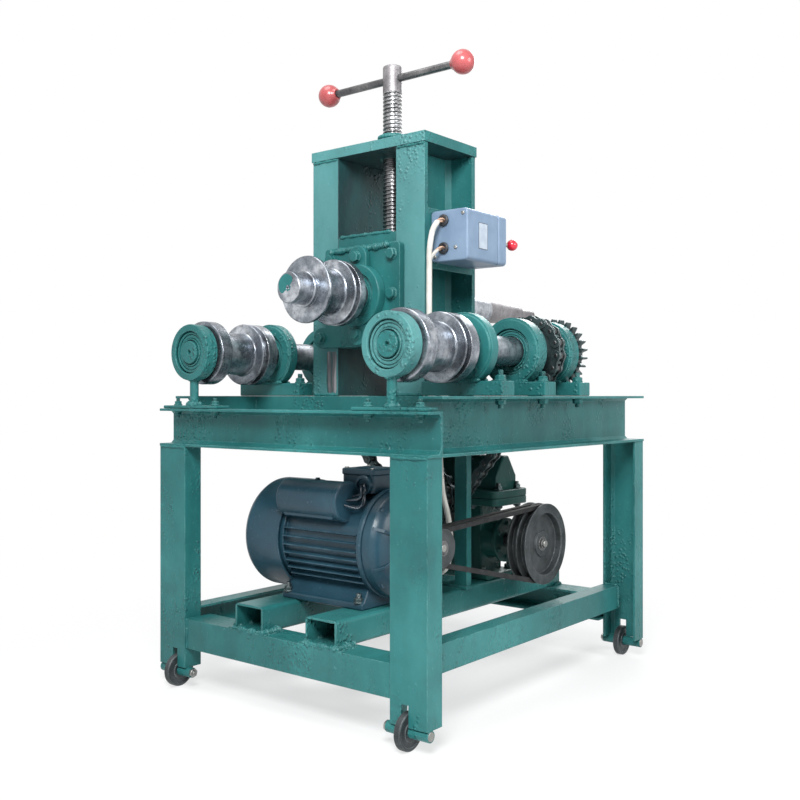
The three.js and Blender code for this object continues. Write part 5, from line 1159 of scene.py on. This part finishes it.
def belt(face, name, node):
    """A V-belt's closed loop round both pulleys."""
    dy, dh = WORM_AXIS[0] - MOTOR_AXIS[0], WORM_AXIS[1] - MOTOR_AXIS[1]
    lean = math.asin((LARGE_R - SMALL_R) / math.hypot(dy, dh))
    line = math.atan2(dh, dy)
    top, bottom = line + math.pi / 2 + lean, line - math.pi / 2 - lean
    section = [(-0.8, face - 4.6), (-0.8, face - 15.4), (-10, face - 13.4), (-10, face - 6.6)]
    stations = [(MOTOR_AXIS, SMALL_R, top + (bottom + TAU - top) * i / 30) for i in range(31)]
    stations += [(WORM_AXIS, LARGE_R, bottom + (top - bottom) * i / 46) for i in range(47)]
    points = [(x, *polar(centre, r + offset, a)) for centre, r, a in stations for offset, x in section]
    piece(name, BELT, [(points, grid_faces(len(stations), 4, True))], [node], sharp=50)


belt(PULLEY_FRONT, "outer_v_belt", "outer_belt")
belt(PULLEY_FRONT - GROOVE_STEP, "inner_v_belt", "inner_belt")


# Motor

def turned_part(profile, sides=96):
    return lathe(profile, "x", MOTOR_AXIS, sides)


def round_motor(points, angle):
    """Points of (x, radius, sideways) turned round the motor's axis."""
    c, s = math.cos(angle), math.sin(angle)
    return [(x, MOTOR_AXIS[0] + r * c - t * s, MOTOR_AXIS[1] + r * s + t * c) for x, r, t in points]


def motor_fins():
    """Long fins, left out where the foot, the terminal box and the lid sit."""
    section = [(90, -2.1), (103.2, -1.2), (104, 0), (103.2, 1.2), (90, 2.1)]
    fin = [(x, r, t) for x in (-72, 113) for r, t in section]
    parts = []
    for k in range(40):
        a = TAU * (k + 0.5) / 40
        c, s = math.cos(a), math.sin(a)
        if not (s < -0.72 or s > 0.35 and c < 0.05 or s > 0.86):
            parts.append((round_motor(fin, a), prism_faces(len(section))))
    return parts


def shield_ribs():
    """Eight ribs and four bolts on the end shield."""
    section = [(40, 170), (48, 171.5), (86, 163), (99, 147), (99, 140), (60, 150), (40, 160)]
    rib = [(x, r, t) for t in (-3, 3) for r, x in section]
    parts = [(round_motor(rib, TAU * (k + 0.5) / 8), prism_faces(len(section))) for k in range(8)]
    for k in range(4):
        a = TAU * (k + 0.5) / 4
        parts.append(bolt((143, *polar(MOTOR_AXIS, 95, a)), "x", 1, 10, 5, True, 0, a))
    return parts


def cowl_grille():
    """The cowl's end: a hub disc, rings and spokes that leave slots between them, and three screws."""
    parts = [turned_part([(0, -179), (27, -179), (28, -178), (28, -176.5), (0, -176.5)], 48)]
    for r in (38, 49, 60, 71):
        ring = [(r, -178.9), (r + 4, -178.9), (r + 4, -176.6), (r, -176.6), (r, -178.9)]
        parts.append(turned_part(ring, 64))
    spoke = [(x, r, t) for x in (-179, -176.5) for r, t in ((26, -5), (85, -5), (85, 5), (26, 5))]
    parts += [(round_motor(spoke, TAU * k / 8), prism_faces(4)) for k in range(8)]
    for k in range(3):
        centre = polar(MOTOR_AXIS, 106, TAU * (k + 0.25) / 3)
        parts.append(lathe([(0, -95), (4.6, -95), (4.6, -87), (0, -87)], "x", centre, 12))
    return parts


shell = [(16, -92), (96, -92), (99.5, -90), (99.5, -77), (98, -75), (92, -74), (92, 108), (95, 111),
         (101, 113), (103, 115), (103, 122), (101, 124), (16, 124)]
foot = [(61, SOLE_H), (229, SOLE_H), (229, -379), (222, -376), (204, -345), (196, -335), (94, -335),
        (86, -345), (68, -376), (61, -379)]
shield = [(15, 124.4), (99, 124.4), (100.6, 126), (101, 128), (101, 140), (99.6, 144), (94, 152), (84, 160),
          (64, 166), (48, 168), (44, 171), (40, 176), (36, 176.2), (34, 175.2), (24, 175.2), (22, 176),
          (15, 176)]
cowl = [(105, -80), (108.2, -80), (108.6, -82), (108.6, -163), (107.6, -168), (104.4, -173.6), (99, -177.4),
        (92, -179), (84, -179), (83.6, -176.5), (92, -176.4), (99, -174), (103, -169.5), (105.5, -163),
        (105.5, -84), (105, -80)]
piece("motor_housing", NAVY, [turned_part(shell)], ["motor_shell"])
piece("motor_fins", NAVY, motor_fins())
piece("motor_foot", NAVY, [prism(foot, "x", -91.6, 113)], bevel=3, segments=3)
piece("end_shield", NAVY, [turned_part(shield)], ["motor_end_bell"])
piece("end_shield_ribs", NAVY, shield_ribs(), bevel=1)
piece("fan_cowl", NAVY, [turned_part(cowl)], ["fan_cover"])
piece("cowl_grille", NAVY, cowl_grille())

can = [(0, -76), (34, -76), (36, -75), (37, -73), (37, 68), (37.8, 68.6), (38.2, 70), (38.2, 75.6),
       (37, 77.4), (34, 78), (33, 77), (20, 76.6), (0, 76.6)]
saddle = [(40, -228), (88, -228), (96, -206), (88, -198), (52, -212), (34, -208)]
piece("capacitor_can", NAVY, [lathe(can, "x", (64, -195), 64)], ["start_capacitor"])
piece("capacitor_saddle", NAVY, [prism(saddle, "x", -66, 60)], bevel=3)
piece("capacitor_screws", NAVY, [bolt((0, 64, -158.4), "z", 1, 8, 2)])

neck = [(0, 106), (17, 106), (18.4, 104), (18.4, 97), (17, 95.4), (13, 95), (12.2, 99), (0, 99)]
base = prism(rounded((24, 102), (105, 185), 8), "z", -182.6, -148)
lid = prism(rounded((22, 104), (103, 187), 9), "z", -149, -137)
piece("terminal_base", NAVY, [base], ["terminal_box"], bevel=2)
piece("terminal_lid", NAVY, [lid], bevel=2.6, segments=3)
piece("terminal_screws", ZINC,
      [bolt((x, y, -137), "z", 1, 8, 2.4, False, 0, x) for x in (31, 95) for y in (112, 178)])
piece("terminal_gland", NAVY, [lathe(neck, "y", (84, -166), 40)])

LEADS = (  # start at the gland, end at the capacitor, sag and radius
    ((80, 97, -166), (77, 60, -192), -4, 2.4), ((88, 97, -164), (77, 70, -204), -9, 2.2),
    ((84, 97, -170), (77, 76, -186), 3, 2.2), ((90, 98, -170), (77, 52, -200), -14, 2.0))
leads = []
for start, end, sag, r in LEADS:
    near, far = [[a + (b - a) * t for a, b in zip(start, end)] for t in (0.3, 0.7)]
    near = (near[0] + 14, near[1] - 4, near[2] + sag + 6)
    route = [start, near, (far[0] + 20, far[1], far[2] + sag), end]
    leads.append(tube(smooth_path(route, 8), r, 12))
piece("capacitor_leads", BLACK_WIRE, leads)
bolts = [set_bolt((x, y, -378.8), "z", 1, 15, 8, True, 8) for x in (-80, 100) for y in (67, 223)]
piece("motor_foot_bolts", CHAIN, bolts)


# Switch box and lever

LEVER_AXIS, BALL_R, BALL_Y = (215, 305), 11.5, 407
box = prism(rounded((146.6, 232), (256, 354), 8, 8), "y", 224.4, 330)
back = prism(rounded((146.8, 232), (256.2, 353.8), 8, 8), "y", 331, 360)
plate = prism(rounded((263, 291), (281, 329), 1.5, 3), "x", 231.9, 232.5)
edge = prism(rounded((261.8, 292.2), (279.8, 330.2), 2, 3), "x", 231.8, 232.2)
piece("switch_case", BOX, [box], ["switch_box"], bevel=3.2, segments=4)
piece("switch_case_back", BOX, [back], bevel=3.2, segments=4)
piece("blank_plate", LABEL, [plate])
piece("blank_plate_edge", BLACK_WIRE, [edge])
grommet = [(5.9, 224.2), (5.9, 219.8), (7, 218.8), (10, 219.2), (11.4, 220.6), (11.6, 222.4), (10.4, 224.2)]
piece("rubber_grommets", GLAND, [lathe(grommet, "y", (178, h), 40) for h in (334, 281)])
screw = [(0, 222.4), (2.4, 222.3), (3.6, 223.2), (3.8, 224.4), (0, 224.4)]
piece("case_screws", ZINC, [lathe(screw, "y", at, 20) for at in ((205, 281), (222, 344), (157, 266))])
ball = arc((0, BALL_Y), BALL_R, -math.pi / 2, math.pi / 2, 20)
stem = smooth_path([(189, 354, 305), (189, 362, 305), (195.5, 383.5, 305), (215, BALL_Y, 305)], 10)
piece("switch_ball", RED, [lathe(ball, "y", LEVER_AXIS, 40)], ["switch_lever"], "lever")
piece("switch_stem", ZINC, [tube(stem, 4)], body="lever")


# CAD nodes that stay as they are

STAY = {
    "front_beam": GREEN, "table_frame": GREEN, "lower_frame": GREEN, "left_column": COLUMN,
    "right_column": COLUMN, "top_plate": ROOF, "carriage_block": GREEN, "carriage_front_plate": GREEN,
    "carriage_rear_plate": GREEN, "output_shaft": STEEL_Y, "worm_shaft": STEEL_X, "motor_shaft": STEEL_X,
    "cooling_fan": FAN,
}
for name, material in STAY.items():
    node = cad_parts[name]
    for slot in node.material_slots:
        slot.material = material
    if not node.material_slots:
        node.data.materials.append(material)
